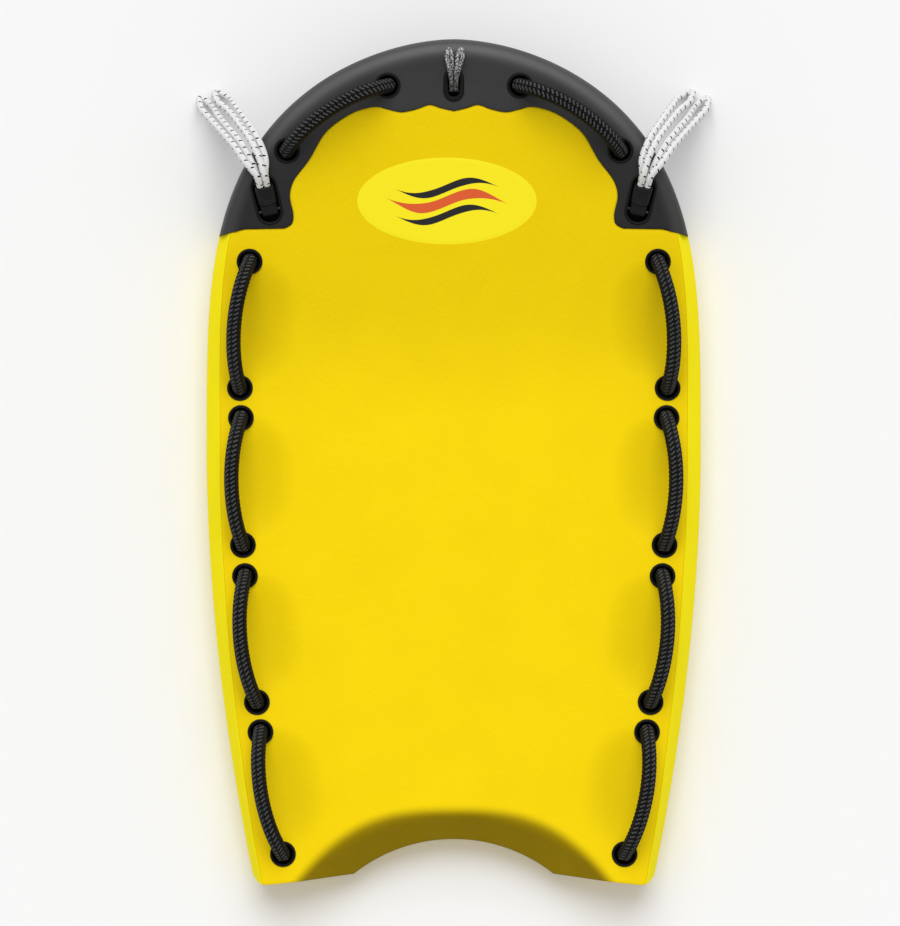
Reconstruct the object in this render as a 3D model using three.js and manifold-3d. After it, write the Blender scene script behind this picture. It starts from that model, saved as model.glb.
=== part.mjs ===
// A water rescue sled: a soft foam board that is towed flat on the water behind a personal watercraft,
// with ten rope handles, a moulded nose bumper, two shoulder tow loops and a short bow line.
// Millimetres. X is across the board, +Y points to the nose, +Z is up.
// The origin is mid-board on the ground.

import * as THREE from "three";
import { mergeVertices } from "three/addons/utils/BufferGeometryUtils.js";
import Module from "manifold-3d";

const wasm = await Module();
wasm.setup();

// ---------------------------------------------------------------- driving dimensions

const GAP = 0.3; // between neighbours that touch

// Plan shape.
const HALF_LENGTH = 800;
const HALF_WIDTH = 470;
const WIDEST_Y = 25; // where the board is widest
const TAIL_TAPER = 86.5; // loss of half-width from the widest place to the tail
const TAIL_POWER = 1.88;
const NOSE_POWER_X = 1.8; // the nose is a superellipse with these two powers
const NOSE_POWER_Y = 3.625;
const TAIL_STEPS = 7;
const NOSE_STEPS = 18;
const NOSE_CROWDING = 1.8; // evens out the steps along the nose

// Side shape.
const THICKNESS = 110;
const KICK_Y = 120; // where the deck starts to rise
const KICK_BEND = 210; // length over which it bends
const KICK_SLOPE = Math.tan(THREE.MathUtils.degToRad(7));
const ROCKER_Y = 150; // where the underside starts to rise
const ROCKER_LIFT = 100; // how high the underside is at the nose tip
const ROCKER_POWER = 1.8;

// Layers.
const SLICK = 3; // bottom skin
const SKIN = 12; // deck skin
const PROUD = 3; // how far the bumper stands above the deck
const EDGE_INSET = 20; // how far the lower edge is tucked under
const FAR_BELOW = -200; // cutters reach from here
const FAR_ABOVE = 400; // to here

// Tail: straight edges out to the corners, an arched cut-out and a ramp down to it.
const TAIL_CORNER = { x: 352, fillet: 22 };
const ARCH = { radius: 304, y: -1020, cornerX: 190 };
const RAMP = { y: -1072, foot: 350, top: 412, drop: 48, topRound: 14 };

// Rope handles.
const ROPE_RADIUS = 14.5;
const GRIP_RISE = 50;
const GRIP_BOW = 18;
const HINGE_RISE = 3; // the grips turn about a line this far above the deck
const CUP = { flange: 24.5, lip: 2.6, liner: 19.3, bore: 16.7, depth: 45, sides: 10, boreBottom: -84 };
const ROPE_RUN_RISE = 22; // centre of the hidden rope above the underside
const ROPE_RUN_BEND = 26;
const CHANNEL_WIDTH = 33;
const CHANNEL_HEIGHT = 60;
const CHANNEL_TOP = 21; // channel roof above the centre of the hidden rope
const WELL = { long: 138, wide: 76, deep: 40, raise: 31, inboard: 22 };

// Handles of the left side, as the centres of their two cups. Those of the right side mirror them.
const HANDLES = [
  { name: "nose", fore: [-124.6, 710.9], rear: [-314.2, 589.6], onBumper: true },
  { name: "front", fore: [-386.2, 381], rear: [-405.2, 142.2] },
  { name: "mid", fore: [-403.3, 85.3], rear: [-399.5, -155.4] },
  { name: "aft", fore: [-395.7, -214.2], rear: [-373, -453.1] },
  { name: "tail", fore: [-366.3, -509.9], rear: [-323.7, -741.2] },
];

// Tow points. Each is an oval eyelet with a cross pin.
const SHOULDER = {
  x: -348,
  y: 476,
  yaw: THREE.MathUtils.degToRad(13),
  opening: [40, 88],
  wall: 4,
  rim: 5.5,
  depth: 34,
  pinFromRear: 21,
  pinDrop: 12,
  pinRadius: 4,
};
const BOW = {
  x: 0,
  y: 700,
  yaw: 0,
  opening: [20, 44],
  wall: 4,
  rim: 9.5,
  depth: 34,
  pinFromRear: 10,
  pinDrop: 12,
  pinRadius: 3,
};
const RIM_HEIGHT = 2.6;
const SLEEVE = {
  width: 36,
  height: 27,
  corner: 7,
  from: 15, // the block starts and ends at these distances from the pin
  to: 54,
  eye: 12,
  eyeWidth: 31,
  pitch: THREE.MathUtils.degToRad(28),
};

// Tow lines. A bight is a line laid double: out along a spine, round its end and back beside itself.
// Each spine point is [x, y, z, half the distance between the two legs, roll of the pair in degrees].
const TOW_LINE_RADIUS = 6;
const OUTER_BIGHT = [
  [-365.9, 525.2, 159, 6.6, 90],
  [-370.5, 541.5, 172.5, 6.6, 80],
  [-386, 566, 173, 6.6, 40],
  [-406, 598, 152, 6.8, 15],
  [-433, 631, 106, 7, 0],
  [-456, 658, 60, 8, 10],
  [-472, 680, 29, 12, 35],
  [-485, 699, 7],
];
const INNER_BIGHT = [
  [-353, 528.2, 159, 6.6, 90],
  [-356.5, 545, 174, 6.6, 80],
  [-360, 572, 175, 6.6, 40],
  [-375, 608, 160, 6.8, 15],
  [-399, 644, 112, 7, 0],
  [-423, 676, 62, 8, 10],
  [-440, 694, 31, 12, 35],
  [-456, 711, 7],
];
const BOW_LINE_RADIUS = 3.75;
const BOW_BIGHTS = {
  left: [
    [-4.2, 706.5, 166, 4.2, 90],
    [-4.6, 721, 182, 4.2, 90],
    [-5.6, 737, 190, 4.2, 60],
    [-7.2, 753, 189.5, 4.2, 30],
    [-8.4, 766.5, 188.3, 4.6, 12],
    [-9.3, 779.5, 186.5],
  ],
  right: [
    [4.2, 706.5, 166, 4.2, 90],
    [4.6, 721, 182, 4.2, 90],
    [6.6, 737, 190, 4.2, 60],
    [9.6, 752, 189.5, 4.2, 30],
    [11.9, 765, 188.3, 4.6, 12],
    [13.7, 778, 186.5],
  ],
};

// ---------------------------------------------------------------- materials

const plastic = (color, roughness) => new THREE.MeshStandardMaterial({ color, roughness, metalness: 0 });
const deckFoam = plastic(0xfad910, 0.75);
const railFoam = plastic(0xffe81c, 0.7);
const coreFoam = plastic(0xf2d64a, 0.85);
const slick = plastic(0x26282a, 0.4);
const bumperFoam = plastic(0x474949, 0.65);
const blackPlastic = plastic(0x121414, 0.5);
const blackRope = plastic(0x1c1d1d, 0.85);
const whiteRope = plastic(0xe8e8e6, 0.8);
const greyRope = plastic(0x8a8a88, 0.8);
const steel = new THREE.MeshStandardMaterial({ color: 0xc4c8cc, roughness: 0.25, metalness: 1 });

// ---------------------------------------------------------------- solids

// A closed geometry as a manifold-3d solid, in the frame that the matrix gives.
function solid(geometry, matrix) {
  const bare = new THREE.BufferGeometry();
  bare.setAttribute("position", geometry.getAttribute("position").clone());
  bare.setIndex(geometry.index);
  if (matrix) bare.applyMatrix4(matrix);
  const merged = mergeVertices(bare, 1e-3);
  const corners = merged.index.array;
  const kept = [];
  for (let i = 0; i < corners.length; i += 3) {
    const [a, b, c] = corners.slice(i, i + 3);
    if (a !== b && b !== c && c !== a) kept.push(a, b, c);
  }
  return new wasm.Manifold(
    new wasm.Mesh({
      numProp: 3,
      vertProperties: merged.getAttribute("position").array,
      triVerts: new Uint32Array(kept),
    }),
  );
}

// A solid as a geometry with flat faces.
function geometryOf(made) {
  const { vertProperties, triVerts } = made.getMesh();
  const geometry = new THREE.BufferGeometry();
  geometry.setAttribute("position", new THREE.BufferAttribute(vertProperties, 3));
  geometry.setIndex(new THREE.BufferAttribute(triVerts, 1));
  geometry.computeVertexNormals();
  return geometry;
}

function joined(solids) {
  return solids.reduce((all, one) => all.add(one));
}

// An upright prism over a plan outline, from one height to another.
function prism(points, from, to, holes = []) {
  const shape = new THREE.Shape(points);
  shape.holes = holes.map((hole) => new THREE.Path(hole));
  const geometry = new THREE.ExtrudeGeometry(shape, { depth: to - from, bevelEnabled: false });
  return geometry.translate(0, 0, from);
}

function cylinderAlongX(radius, length, sides = 12) {
  return new THREE.CylinderGeometry(radius, radius, length, sides).rotateZ(Math.PI / 2);
}

// A round bar swept along a curve.
function sweep(curve, radius, steps) {
  const section = new THREE.Shape(new THREE.EllipseCurve(0, 0, radius, radius).getPoints(8).slice(0, 8));
  return new THREE.ExtrudeGeometry(section, { steps, bevelEnabled: false, extrudePath: curve });
}

// A smooth curve whose evenly counted steps fall on the points that it is given.
class SteppedCurve extends THREE.CatmullRomCurve3 {
  constructor(points) {
    super(points, false, "centripetal");
  }

  getPointAt(step, target) {
    return this.getPoint(step, target);
  }

  getTangentAt(step, target) {
    return this.getTangent(step, target);
  }
}

// ---------------------------------------------------------------- hull surfaces

function halfWidth(y) {
  if (y <= WIDEST_Y) return HALF_WIDTH - TAIL_TAPER * ((WIDEST_Y - y) / HALF_LENGTH) ** TAIL_POWER;
  const along = (y - WIDEST_Y) / (HALF_LENGTH - WIDEST_Y);
  return HALF_WIDTH * (1 - along ** NOSE_POWER_Y) ** (1 / NOSE_POWER_X);
}

function deckHeight(y) {
  const run = Math.max(0, y - KICK_Y);
  const rise = run < KICK_BEND ? (run * run) / (2 * KICK_BEND) : run - KICK_BEND / 2;
  return THICKNESS + KICK_SLOPE * rise;
}

function deckSlope(y) {
  const bent = THREE.MathUtils.clamp((y - KICK_Y) / KICK_BEND, 0, 1);
  return Math.atan(KICK_SLOPE * bent);
}

function keelHeight(y) {
  const run = Math.max(0, y - ROCKER_Y) / (HALF_LENGTH - ROCKER_Y);
  return ROCKER_LIFT * run ** ROCKER_POWER;
}

// Width of the bevelled rail strip. The bumper's outer wall carries on at its narrow end's width.
function railWidth(y) {
  if (y > 0) return Math.max(21, 27 - 5 * (y / 400) ** 2);
  return 27 - 12 * (-y / HALF_LENGTH) ** TAIL_POWER;
}

// The right-hand plan outline from the tail to the nose tip, with its outward direction at each station.
function planOutline() {
  const stations = [];
  for (let i = 0; i <= TAIL_STEPS; i++) {
    const y = THREE.MathUtils.lerp(-HALF_LENGTH - 2, WIDEST_Y, i / TAIL_STEPS);
    stations.push({ x: halfWidth(y), y, out: new THREE.Vector2(1, 0) });
  }
  for (let i = 1; i <= NOSE_STEPS; i++) {
    const angle = ((i / NOSE_STEPS) ** NOSE_CROWDING * Math.PI) / 2;
    const across = Math.cos(angle) ** (2 / NOSE_POWER_X);
    const along = Math.sin(angle) ** (2 / NOSE_POWER_Y);
    const reach = HALF_LENGTH - WIDEST_Y;
    const out = new THREE.Vector2(
      (NOSE_POWER_X * across ** (NOSE_POWER_X - 1)) / HALF_WIDTH,
      (NOSE_POWER_Y * along ** (NOSE_POWER_Y - 1)) / reach,
    );
    stations.push({ x: HALF_WIDTH * across, y: WIDEST_Y + reach * along, out: out.normalize() });
  }
  return stations;
}

const OUTLINE = planOutline();

// One level of the hull: the outline moved inwards, at a height that depends on y.
function ring(inset, height) {
  return OUTLINE.map(({ x, y, out }) => {
    const distance = typeof inset === "function" ? inset(y) : inset;
    const insetY = y - distance * out.y;
    return [Math.max(0, x - distance * out.x), insetY, height(insetY)];
  });
}

const above = (height, rise) => (y) => height(y) + rise;

// The closed solid through rings of the hull, lowest first, mirrored to the left.
function hull(rings) {
  const stations = OUTLINE.length;
  const loop = 2 * stations;
  const mirrored = (points) => points.map(([x, y, z]) => [-x, y, z]).reverse();
  const positions = rings.flatMap((points) => [...points, ...mirrored(points)]).flat();
  const indices = [];
  const quad = (a, b, c, d) => indices.push(a, b, c, a, c, d);
  for (let level = 0; level < rings.length - 1; level++) {
    for (let i = 0; i < loop; i++) {
      const next = (i + 1) % loop;
      const base = level * loop;
      quad(base + i, base + next, base + loop + next, base + loop + i);
    }
  }
  const roof = (rings.length - 1) * loop;
  for (let i = 0; i < stations - 1; i++) {
    const left = loop - 1 - i;
    quad(roof + i, roof + i + 1, roof + left - 1, roof + left);
    quad(i, left, left - 1, i + 1);
  }
  const geometry = new THREE.BufferGeometry();
  geometry.setAttribute("position", new THREE.Float32BufferAttribute(positions, 3));
  geometry.setIndex(indices);
  return solid(geometry);
}

// A frame that stands square on the deck.
function seat(x, y, { yaw = 0, rise = 0 } = {}) {
  const frame = new THREE.Object3D();
  frame.position.set(x, y, deckHeight(y) + rise);
  frame.rotation.set(deckSlope(y), 0, yaw);
  frame.updateMatrixWorld(true);
  return frame;
}

// A point square above the seat's centre, or below it where the rise is negative.
function aboveSeat(frame, rise) {
  return frame.localToWorld(new THREE.Vector3(0, 0, rise));
}

// ---------------------------------------------------------------- tail and bumper outlines

// Everything behind the tail: its filleted corners, straight edges and arch.
function tailCutter() {
  const { x: cornerX, fillet } = TAIL_CORNER;
  const start = Math.acos(ARCH.cornerX / ARCH.radius);
  const filletY = -HALF_LENGTH + fillet;
  const behind = -HALF_LENGTH - 100;
  const shape = new THREE.Shape();
  shape.moveTo(HALF_WIDTH, behind);
  shape.lineTo(HALF_WIDTH, filletY);
  shape.lineTo(halfWidth(filletY), filletY);
  shape.quadraticCurveTo(halfWidth(-HALF_LENGTH), -HALF_LENGTH, cornerX, -HALF_LENGTH);
  shape.absarc(0, ARCH.y, ARCH.radius, start, Math.PI - start, false);
  shape.lineTo(-cornerX, -HALF_LENGTH);
  shape.quadraticCurveTo(-halfWidth(-HALF_LENGTH), -HALF_LENGTH, -halfWidth(filletY), filletY);
  shape.lineTo(-HALF_WIDTH, filletY);
  shape.lineTo(-HALF_WIDTH, behind);
  return solid(prism(shape.getPoints(14), FAR_BELOW, FAR_ABOVE));
}

// The bumper's rear edge on the right: a scalloped line, then a straight heel out to the side.
const SCALLOPS = [
  [0, 663.5],
  [24, 669],
  [45, 675],
  [70, 667],
  [98, 661.5],
  [122, 666],
  [145, 671.5],
  [182, 664],
  [215, 646],
  [243, 622],
  [273, 572],
  [303, 531],
  [309.5, 505],
  [303, 468],
  [306, 452],
  [319, 443.5],
];
const BUMPER_HEEL = [
  [394, 442],
  [470, 424],
];

// The plan area behind the bumper's rear edge, drawn back from that edge by a clearance.
function areaBehindBumper(clearance) {
  const scallops = new THREE.SplineCurve(SCALLOPS.map(([x, y]) => new THREE.Vector2(x, y)));
  const heel = BUMPER_HEEL.map(([x, y]) => new THREE.Vector2(x, y));
  const edge = [...scallops.getPoints(26), ...heel];
  const drawnBack = edge.map((point, i) => {
    const before = edge[Math.max(0, i - 1)];
    const after = edge[Math.min(edge.length - 1, i + 1)];
    const along = i === 0 ? new THREE.Vector2(1, 0) : after.clone().sub(before).normalize();
    return new THREE.Vector2(point.x + along.y * clearance, point.y - along.x * clearance);
  });
  const right = [new THREE.Vector2(HALF_WIDTH + 30, -HALF_LENGTH - 30), ...drawnBack.reverse()];
  const left = right.map(({ x, y }) => new THREE.Vector2(-x, y)).reverse();
  return solid(prism([...right, ...left.slice(1)], FAR_BELOW, FAR_ABOVE));
}

// ---------------------------------------------------------------- hull pieces

const tail = tailCutter();

const eachHandle = (visit) => [-1, 1].flatMap((side) => HANDLES.map((handle) => visit(side, handle)));

// The two cup seats of a handle, fore and rear.
function cupSeats(side, { fore, rear, onBumper }) {
  const rise = onBumper ? PROUD : 0;
  return [fore, rear].map(([x, y]) => seat(-side * x, y, { rise }));
}

// The finger hollow beside a handle, within the thickness of the deck skin.
function well(side, handle) {
  const [fore, rear] = cupSeats(side, handle).map((frame) => frame.position);
  const middle = fore.clone().add(rear).divideScalar(2);
  const hollow = new THREE.Object3D();
  hollow.position.set(middle.x - side * WELL.inboard, middle.y, middle.z + WELL.raise);
  hollow.rotation.set(deckSlope(middle.y), 0, Math.atan2(rear.x - fore.x, fore.y - rear.y));
  hollow.scale.set(WELL.wide, WELL.long, WELL.deep);
  hollow.updateMatrixWorld(true);
  return solid(new THREE.SphereGeometry(1, 12, 14).rotateX(Math.PI / 2), hollow.matrixWorld);
}

// The ramp down to the arch, as a turned cutter. It runs on below the arch and above the deck.
function rampCutter(sink) {
  const { foot, top, drop, topRound } = RAMP;
  const past = 30;
  const steepness = drop / (top - foot - topRound / 2);
  const deck = THICKNESS - sink;
  const profile = [
    [0, deck - drop - past * steepness],
    [foot - past, deck - drop - past * steepness],
    [top - topRound, deck - (topRound / 2) * steepness],
    [top, deck - topRound / 12],
    [top + topRound, deck + GAP],
    [top + topRound, FAR_ABOVE],
    [0, FAR_ABOVE],
  ];
  const points = profile.map(([radius, z]) => new THREE.Vector2(radius, z));
  const turned = new THREE.LatheGeometry(points, 48).rotateX(Math.PI / 2);
  return solid(turned.translate(0, RAMP.y, 0));
}

// Everything below the deck surface inside the rails, with the surface sunk and the sides drawn in.
function belowDeck(sink, clearance) {
  const inset = (y) => railWidth(y) + clearance;
  const slab = hull([ring(inset, () => FAR_BELOW), ring(inset, above(deckHeight, -sink))]);
  return slab.subtract(rampCutter(sink));
}

// A hole for a cup's liner, with a flat seat for its flange.
function cupBore(frame) {
  const upright = (radius, from, to) => {
    const bore = new THREE.CylinderGeometry(radius, radius, to - from, CUP.sides).rotateX(Math.PI / 2);
    return solid(bore.translate(0, 0, (from + to) / 2), frame.matrixWorld);
  };
  const flangeRoom = 30;
  const throughFoam = upright(CUP.liner + GAP, CUP.boreBottom, flangeRoom);
  return throughFoam.add(upright(CUP.flange + GAP, 0, flangeRoom));
}

const cupBores = eachHandle((side, handle) => cupSeats(side, handle).map(cupBore)).flat();

function stadium(width, length, shift = 0) {
  const radius = width / 2;
  const reach = length / 2 - radius;
  const shape = new THREE.Shape();
  shape.absarc(0, shift + reach, radius, 0, Math.PI, false);
  shape.absarc(0, shift - reach, radius, Math.PI, 2 * Math.PI, false);
  return shape.getPoints(5).slice(0, -1);
}

function eyeletSeat(side, spot) {
  return seat(-side * spot.x, spot.y, { yaw: -side * spot.yaw, rise: PROUD });
}

// The centre of the opening lies ahead of the pin.
const openingShift = (spot) => spot.opening[1] / 2 - spot.pinFromRear;

const eyeletOval = (spot, margin) => {
  const [width, length] = spot.opening.map((size) => size + 2 * margin);
  return stadium(width, length, openingShift(spot));
};

// A pocket for an eyelet, with a flat seat for its rim.
function eyeletPocket(side, spot) {
  const { matrixWorld } = eyeletSeat(side, spot);
  const rimRoom = 30;
  const tube = prism(eyeletOval(spot, spot.wall + GAP), -spot.depth - 2, rimRoom);
  const rim = prism(eyeletOval(spot, spot.rim + GAP), 0, rimRoom);
  return solid(tube, matrixWorld).add(solid(rim, matrixWorld));
}

const TOW_POINTS = [
  { name: "left", side: -1, spot: SHOULDER },
  { name: "right", side: 1, spot: SHOULDER },
  { name: "bow", side: -1, spot: BOW },
];
const pockets = joined(TOW_POINTS.map(({ side, spot }) => eyeletPocket(side, spot)));

function deckSkin() {
  const layer = belowDeck(0, GAP).subtract(belowDeck(SKIN, -20));
  const deckHandles = eachHandle((side, handle) => (handle.onBumper ? [] : [well(side, handle)])).flat();
  return layer
    .subtract(tail)
    .intersect(areaBehindBumper(GAP))
    .subtract(joined([...deckHandles, ...cupBores]));
}

// The lowest point of a hidden rope under a cup.
function ropeRunLow(frame) {
  const { y, z } = frame.position;
  return aboveSeat(frame, keelHeight(y) + ROPE_RUN_RISE - z);
}

// The channel in the core's underside that a hidden rope lies in.
function ropeChannel(side, handle) {
  const [fore, rear] = cupSeats(side, handle).map(ropeRunLow);
  const chord = fore.clone().sub(rear);
  const length = chord.length() + CHANNEL_WIDTH + 4;
  const along = chord.normalize();
  const across = new THREE.Vector3(0, 0, 1).cross(along).normalize();
  const up = along.clone().cross(across);
  const frame = new THREE.Matrix4().makeBasis(along, across, up);
  frame.setPosition(fore.clone().add(rear).divideScalar(2));
  const box = new THREE.BoxGeometry(length, CHANNEL_WIDTH, CHANNEL_HEIGHT);
  return solid(box.translate(0, 0, CHANNEL_TOP - CHANNEL_HEIGHT / 2), frame);
}

// Everything below the foam, reaching past the outline on all sides.
const underFoam = () => hull([ring(-40, () => FAR_BELOW), ring(-40, above(keelHeight, SLICK + GAP))]);

function foamCore() {
  const channels = joined(eachHandle(ropeChannel));
  const block = belowDeck(SKIN + GAP, GAP).subtract(underFoam()).subtract(tail);
  return block.subtract(channels).subtract(joined(cupBores)).subtract(pockets);
}

function bothRails() {
  const outside = hull([
    ring(EDGE_INSET, above(keelHeight, SLICK + GAP)),
    ring(4, above(keelHeight, 24)),
    ring(0, above(keelHeight, 40)),
    ring(0, above(deckHeight, -34)),
    ring(railWidth, deckHeight),
  ]);
  const inside = hull([ring(railWidth, () => FAR_BELOW), ring(railWidth, () => FAR_ABOVE)]);
  return outside.subtract(inside).subtract(tail).intersect(areaBehindBumper(GAP));
}

function bottomSkin() {
  return hull([ring(EDGE_INSET, keelHeight), ring(EDGE_INSET, above(keelHeight, SLICK))]).subtract(tail);
}

function noseBumper() {
  const outside = hull([
    ring(EDGE_INSET, above(keelHeight, SLICK + GAP)),
    ring(0, above(keelHeight, 38)),
    ring(0, above(deckHeight, -30)),
    ring(6, above(deckHeight, -9)),
    ring(22, above(deckHeight, 2)),
    ring(34, above(deckHeight, PROUD)),
  ]);
  const coreSpace = hull([ring(railWidth, () => FAR_BELOW), ring(railWidth, above(deckHeight, -SKIN))]);
  return outside
    .subtract(areaBehindBumper(0))
    .subtract(coreSpace)
    .subtract(joined(cupBores))
    .subtract(pockets);
}

// ---------------------------------------------------------------- handles

// The exposed rope of a handle: a low arch that leans outboard.
class GripCurve extends THREE.Curve {
  constructor(fore, rear, side) {
    super();
    this.fore = fore;
    this.rear = rear;
    const chord = rear.clone().sub(fore).normalize();
    this.outboard = new THREE.Vector3(0, 0, side).cross(chord).normalize();
    this.up = chord.clone().cross(this.outboard).multiplyScalar(side);
  }

  getPoint(t, target = new THREE.Vector3()) {
    const s = 2 * t - 1;
    return target
      .lerpVectors(this.fore, this.rear, t)
      .addScaledVector(this.up, GRIP_RISE * (1 - s ** 4))
      .addScaledVector(this.outboard, GRIP_BOW * (1 - s ** 2));
  }
}

function gripGeometry(side, handle) {
  const [fore, rear] = cupSeats(side, handle).map((frame) => aboveSeat(frame, HINGE_RISE));
  return sweep(new GripCurve(fore, rear, side), ROPE_RADIUS, 12);
}

// The hidden rope: down one cup, along the channel and up the other cup.
function ropeRunGeometry(side, handle) {
  const underGrip = HINGE_RISE - ROPE_RADIUS - 1.5;
  const frames = cupSeats(side, handle);
  const tops = frames.map((frame) => aboveSeat(frame, underGrip));
  const lows = frames.map(ropeRunLow);
  const chord = lows[1].clone().sub(lows[0]).normalize();
  const [down, up] = lows.map((low, end) => {
    const rising = tops[end].clone().sub(low).normalize();
    const overhead = low.clone().addScaledVector(rising, ROPE_RUN_BEND);
    const beside = low.clone().addScaledVector(chord, end ? -ROPE_RUN_BEND : ROPE_RUN_BEND);
    const turn = new THREE.QuadraticBezierCurve3(overhead, low, beside);
    return [tops[end], ...turn.getPoints(3)];
  });
  const points = [...down, ...up.reverse()];
  return sweep(new SteppedCurve(points), ROPE_RADIUS, points.length - 1);
}

// A round cup: a flange on the deck, a funnel for the rope and a liner through the foam.
function cupGeometry() {
  const { flange, lip, liner, bore, depth } = CUP;
  const profile = [
    [liner, -depth],
    [liner, GAP],
    [flange, GAP],
    [flange - 1.5, lip],
    [bore + 0.6, -10],
    [bore, -depth],
    [liner, -depth],
  ];
  const points = profile.map(([radius, z]) => new THREE.Vector2(radius, z));
  return geometryOf(solid(new THREE.LatheGeometry(points, CUP.sides).rotateX(Math.PI / 2)));
}

// ---------------------------------------------------------------- tow points

// An oval eyelet: a tube through the foam with a raised rim, and holes for the pin.
function eyeletGeometry(spot) {
  const hole = [eyeletOval(spot, 0)];
  const tube = solid(prism(eyeletOval(spot, spot.wall), -spot.depth, GAP + 1, hole));
  const rim = solid(prism(eyeletOval(spot, spot.rim), GAP, RIM_HEIGHT, hole));
  const pinHole = cylinderAlongX(spot.pinRadius + GAP, spot.opening[0] + 4 * spot.wall);
  return geometryOf(tube.add(rim).subtract(solid(pinHole.translate(0, 0, -spot.pinDrop))));
}

function pinGeometry({ opening, wall, pinRadius }) {
  return cylinderAlongX(pinRadius, opening[0] + wall);
}

// A moulded sleeve: an eye that turns on the pin, and a block that grips the tow line.
function sleeveGeometry(pinRadius) {
  const { width, height, corner, from, to, eye, eyeWidth } = SLEEVE;
  const section = new THREE.Shape();
  const [x, z] = [width / 2 - corner, height / 2 - corner];
  section.absarc(x, z, corner, 0, Math.PI / 2);
  section.absarc(-x, z, corner, Math.PI / 2, Math.PI);
  section.absarc(-x, -z, corner, Math.PI, 1.5 * Math.PI);
  section.absarc(x, -z, corner, 1.5 * Math.PI, 2 * Math.PI);
  const block = prism(section.getPoints(3), -to, -from).rotateX(Math.PI / 2);
  const neck = new THREE.BoxGeometry(eyeWidth, from + 4, 2 * eye - 4).translate(0, (from + 4) / 2, 0);
  const made = solid(block).add(solid(neck)).add(solid(cylinderAlongX(eye, eyeWidth)));
  return geometryOf(made.subtract(solid(cylinderAlongX(pinRadius + 0.6, eyeWidth + 4))));
}

// The route of a bight: its two legs on either side of the spine, and the spine's end as the turn.
function bightRoute(spine, side) {
  const legs = [[], []];
  const points = spine.map(([x, y, z]) => new THREE.Vector3(-side * x, y, z));
  spine.slice(0, -1).forEach(([, , , half, roll], i) => {
    const ahead = points[i + 1].clone().sub(points[i]).normalize();
    const level = new THREE.Vector3(0, 0, 1).cross(ahead).normalize();
    const upright = ahead.clone().cross(level);
    const turn = THREE.MathUtils.degToRad(roll);
    const offset = upright.multiplyScalar(Math.sin(turn) * half);
    offset.addScaledVector(level, -side * Math.cos(turn) * half);
    legs[0].push(points[i].clone().add(offset));
    legs[1].push(points[i].clone().sub(offset));
  });
  return [...legs[0], points.at(-1), ...legs[1].reverse()];
}

function bightGeometry(spine, side, radius) {
  const route = bightRoute(spine, side);
  return sweep(new SteppedCurve(route), radius, 2 * (route.length - 1));
}

// ---------------------------------------------------------------- assembly

const sled = new THREE.Group();

function addMesh(name, geometry, material, frame) {
  const mesh = new THREE.Mesh(geometry, material);
  mesh.name = name;
  if (frame) {
    mesh.position.copy(frame.position);
    mesh.rotation.copy(frame.rotation);
  }
  sled.add(mesh);
}

const sideName = (side) => (side < 0 ? "left" : "right");

addMesh("deck_skin", geometryOf(deckSkin()), deckFoam);
addMesh("foam_core", geometryOf(foamCore()), coreFoam);
addMesh("bottom_skin", geometryOf(bottomSkin()), slick);
addMesh("nose_bumper", geometryOf(noseBumper()), bumperFoam);
for (const rail of bothRails().decompose()) {
  const side = Math.sign(rail.boundingBox().max[0]);
  addMesh("rail_" + sideName(side), geometryOf(rail), railFoam);
}

const cup = cupGeometry();
eachHandle((side, handle) => {
  const place = sideName(side) + "_" + handle.name;
  addMesh("grip_" + place, gripGeometry(side, handle), blackRope);
  addMesh("rope_run_" + place, ropeRunGeometry(side, handle), blackRope);
  cupSeats(side, handle).forEach((frame, end) => {
    addMesh("cup_" + place + (end ? "_rear" : "_fore"), cup, blackPlastic, frame);
  });
});

for (const { name, side, spot } of TOW_POINTS) {
  const frame = eyeletSeat(side, spot);
  addMesh("eyelet_" + name, eyeletGeometry(spot), blackPlastic, frame);
  const pin = frame.clone();
  pin.position.copy(aboveSeat(frame, -spot.pinDrop));
  addMesh("eyelet_pin_" + name, pinGeometry(spot), steel, pin);
  if (spot === SHOULDER) {
    pin.rotation.set(SLEEVE.pitch, 0, -side * spot.yaw, "ZYX");
    addMesh("tow_sleeve_" + name, sleeveGeometry(spot.pinRadius), blackPlastic, pin);
    addMesh("tow_bight_" + name + "_outer", bightGeometry(OUTER_BIGHT, side, TOW_LINE_RADIUS), whiteRope);
    addMesh("tow_bight_" + name + "_inner", bightGeometry(INNER_BIGHT, side, TOW_LINE_RADIUS), whiteRope);
  }
}
for (const [name, spine] of Object.entries(BOW_BIGHTS)) {
  addMesh("bow_line_" + name, bightGeometry(spine, -1, BOW_LINE_RADIUS), greyRope);
}

export default sled;
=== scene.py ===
"""A water rescue sled: the looks of the foam hull, its rope handles, tow loops and bow line."""
import math

import bpy
import numpy as np
from mathutils import Matrix, Vector
from mathutils.geometry import delaunay_2d_cdt
from mathutils.kdtree import KDTree


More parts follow.
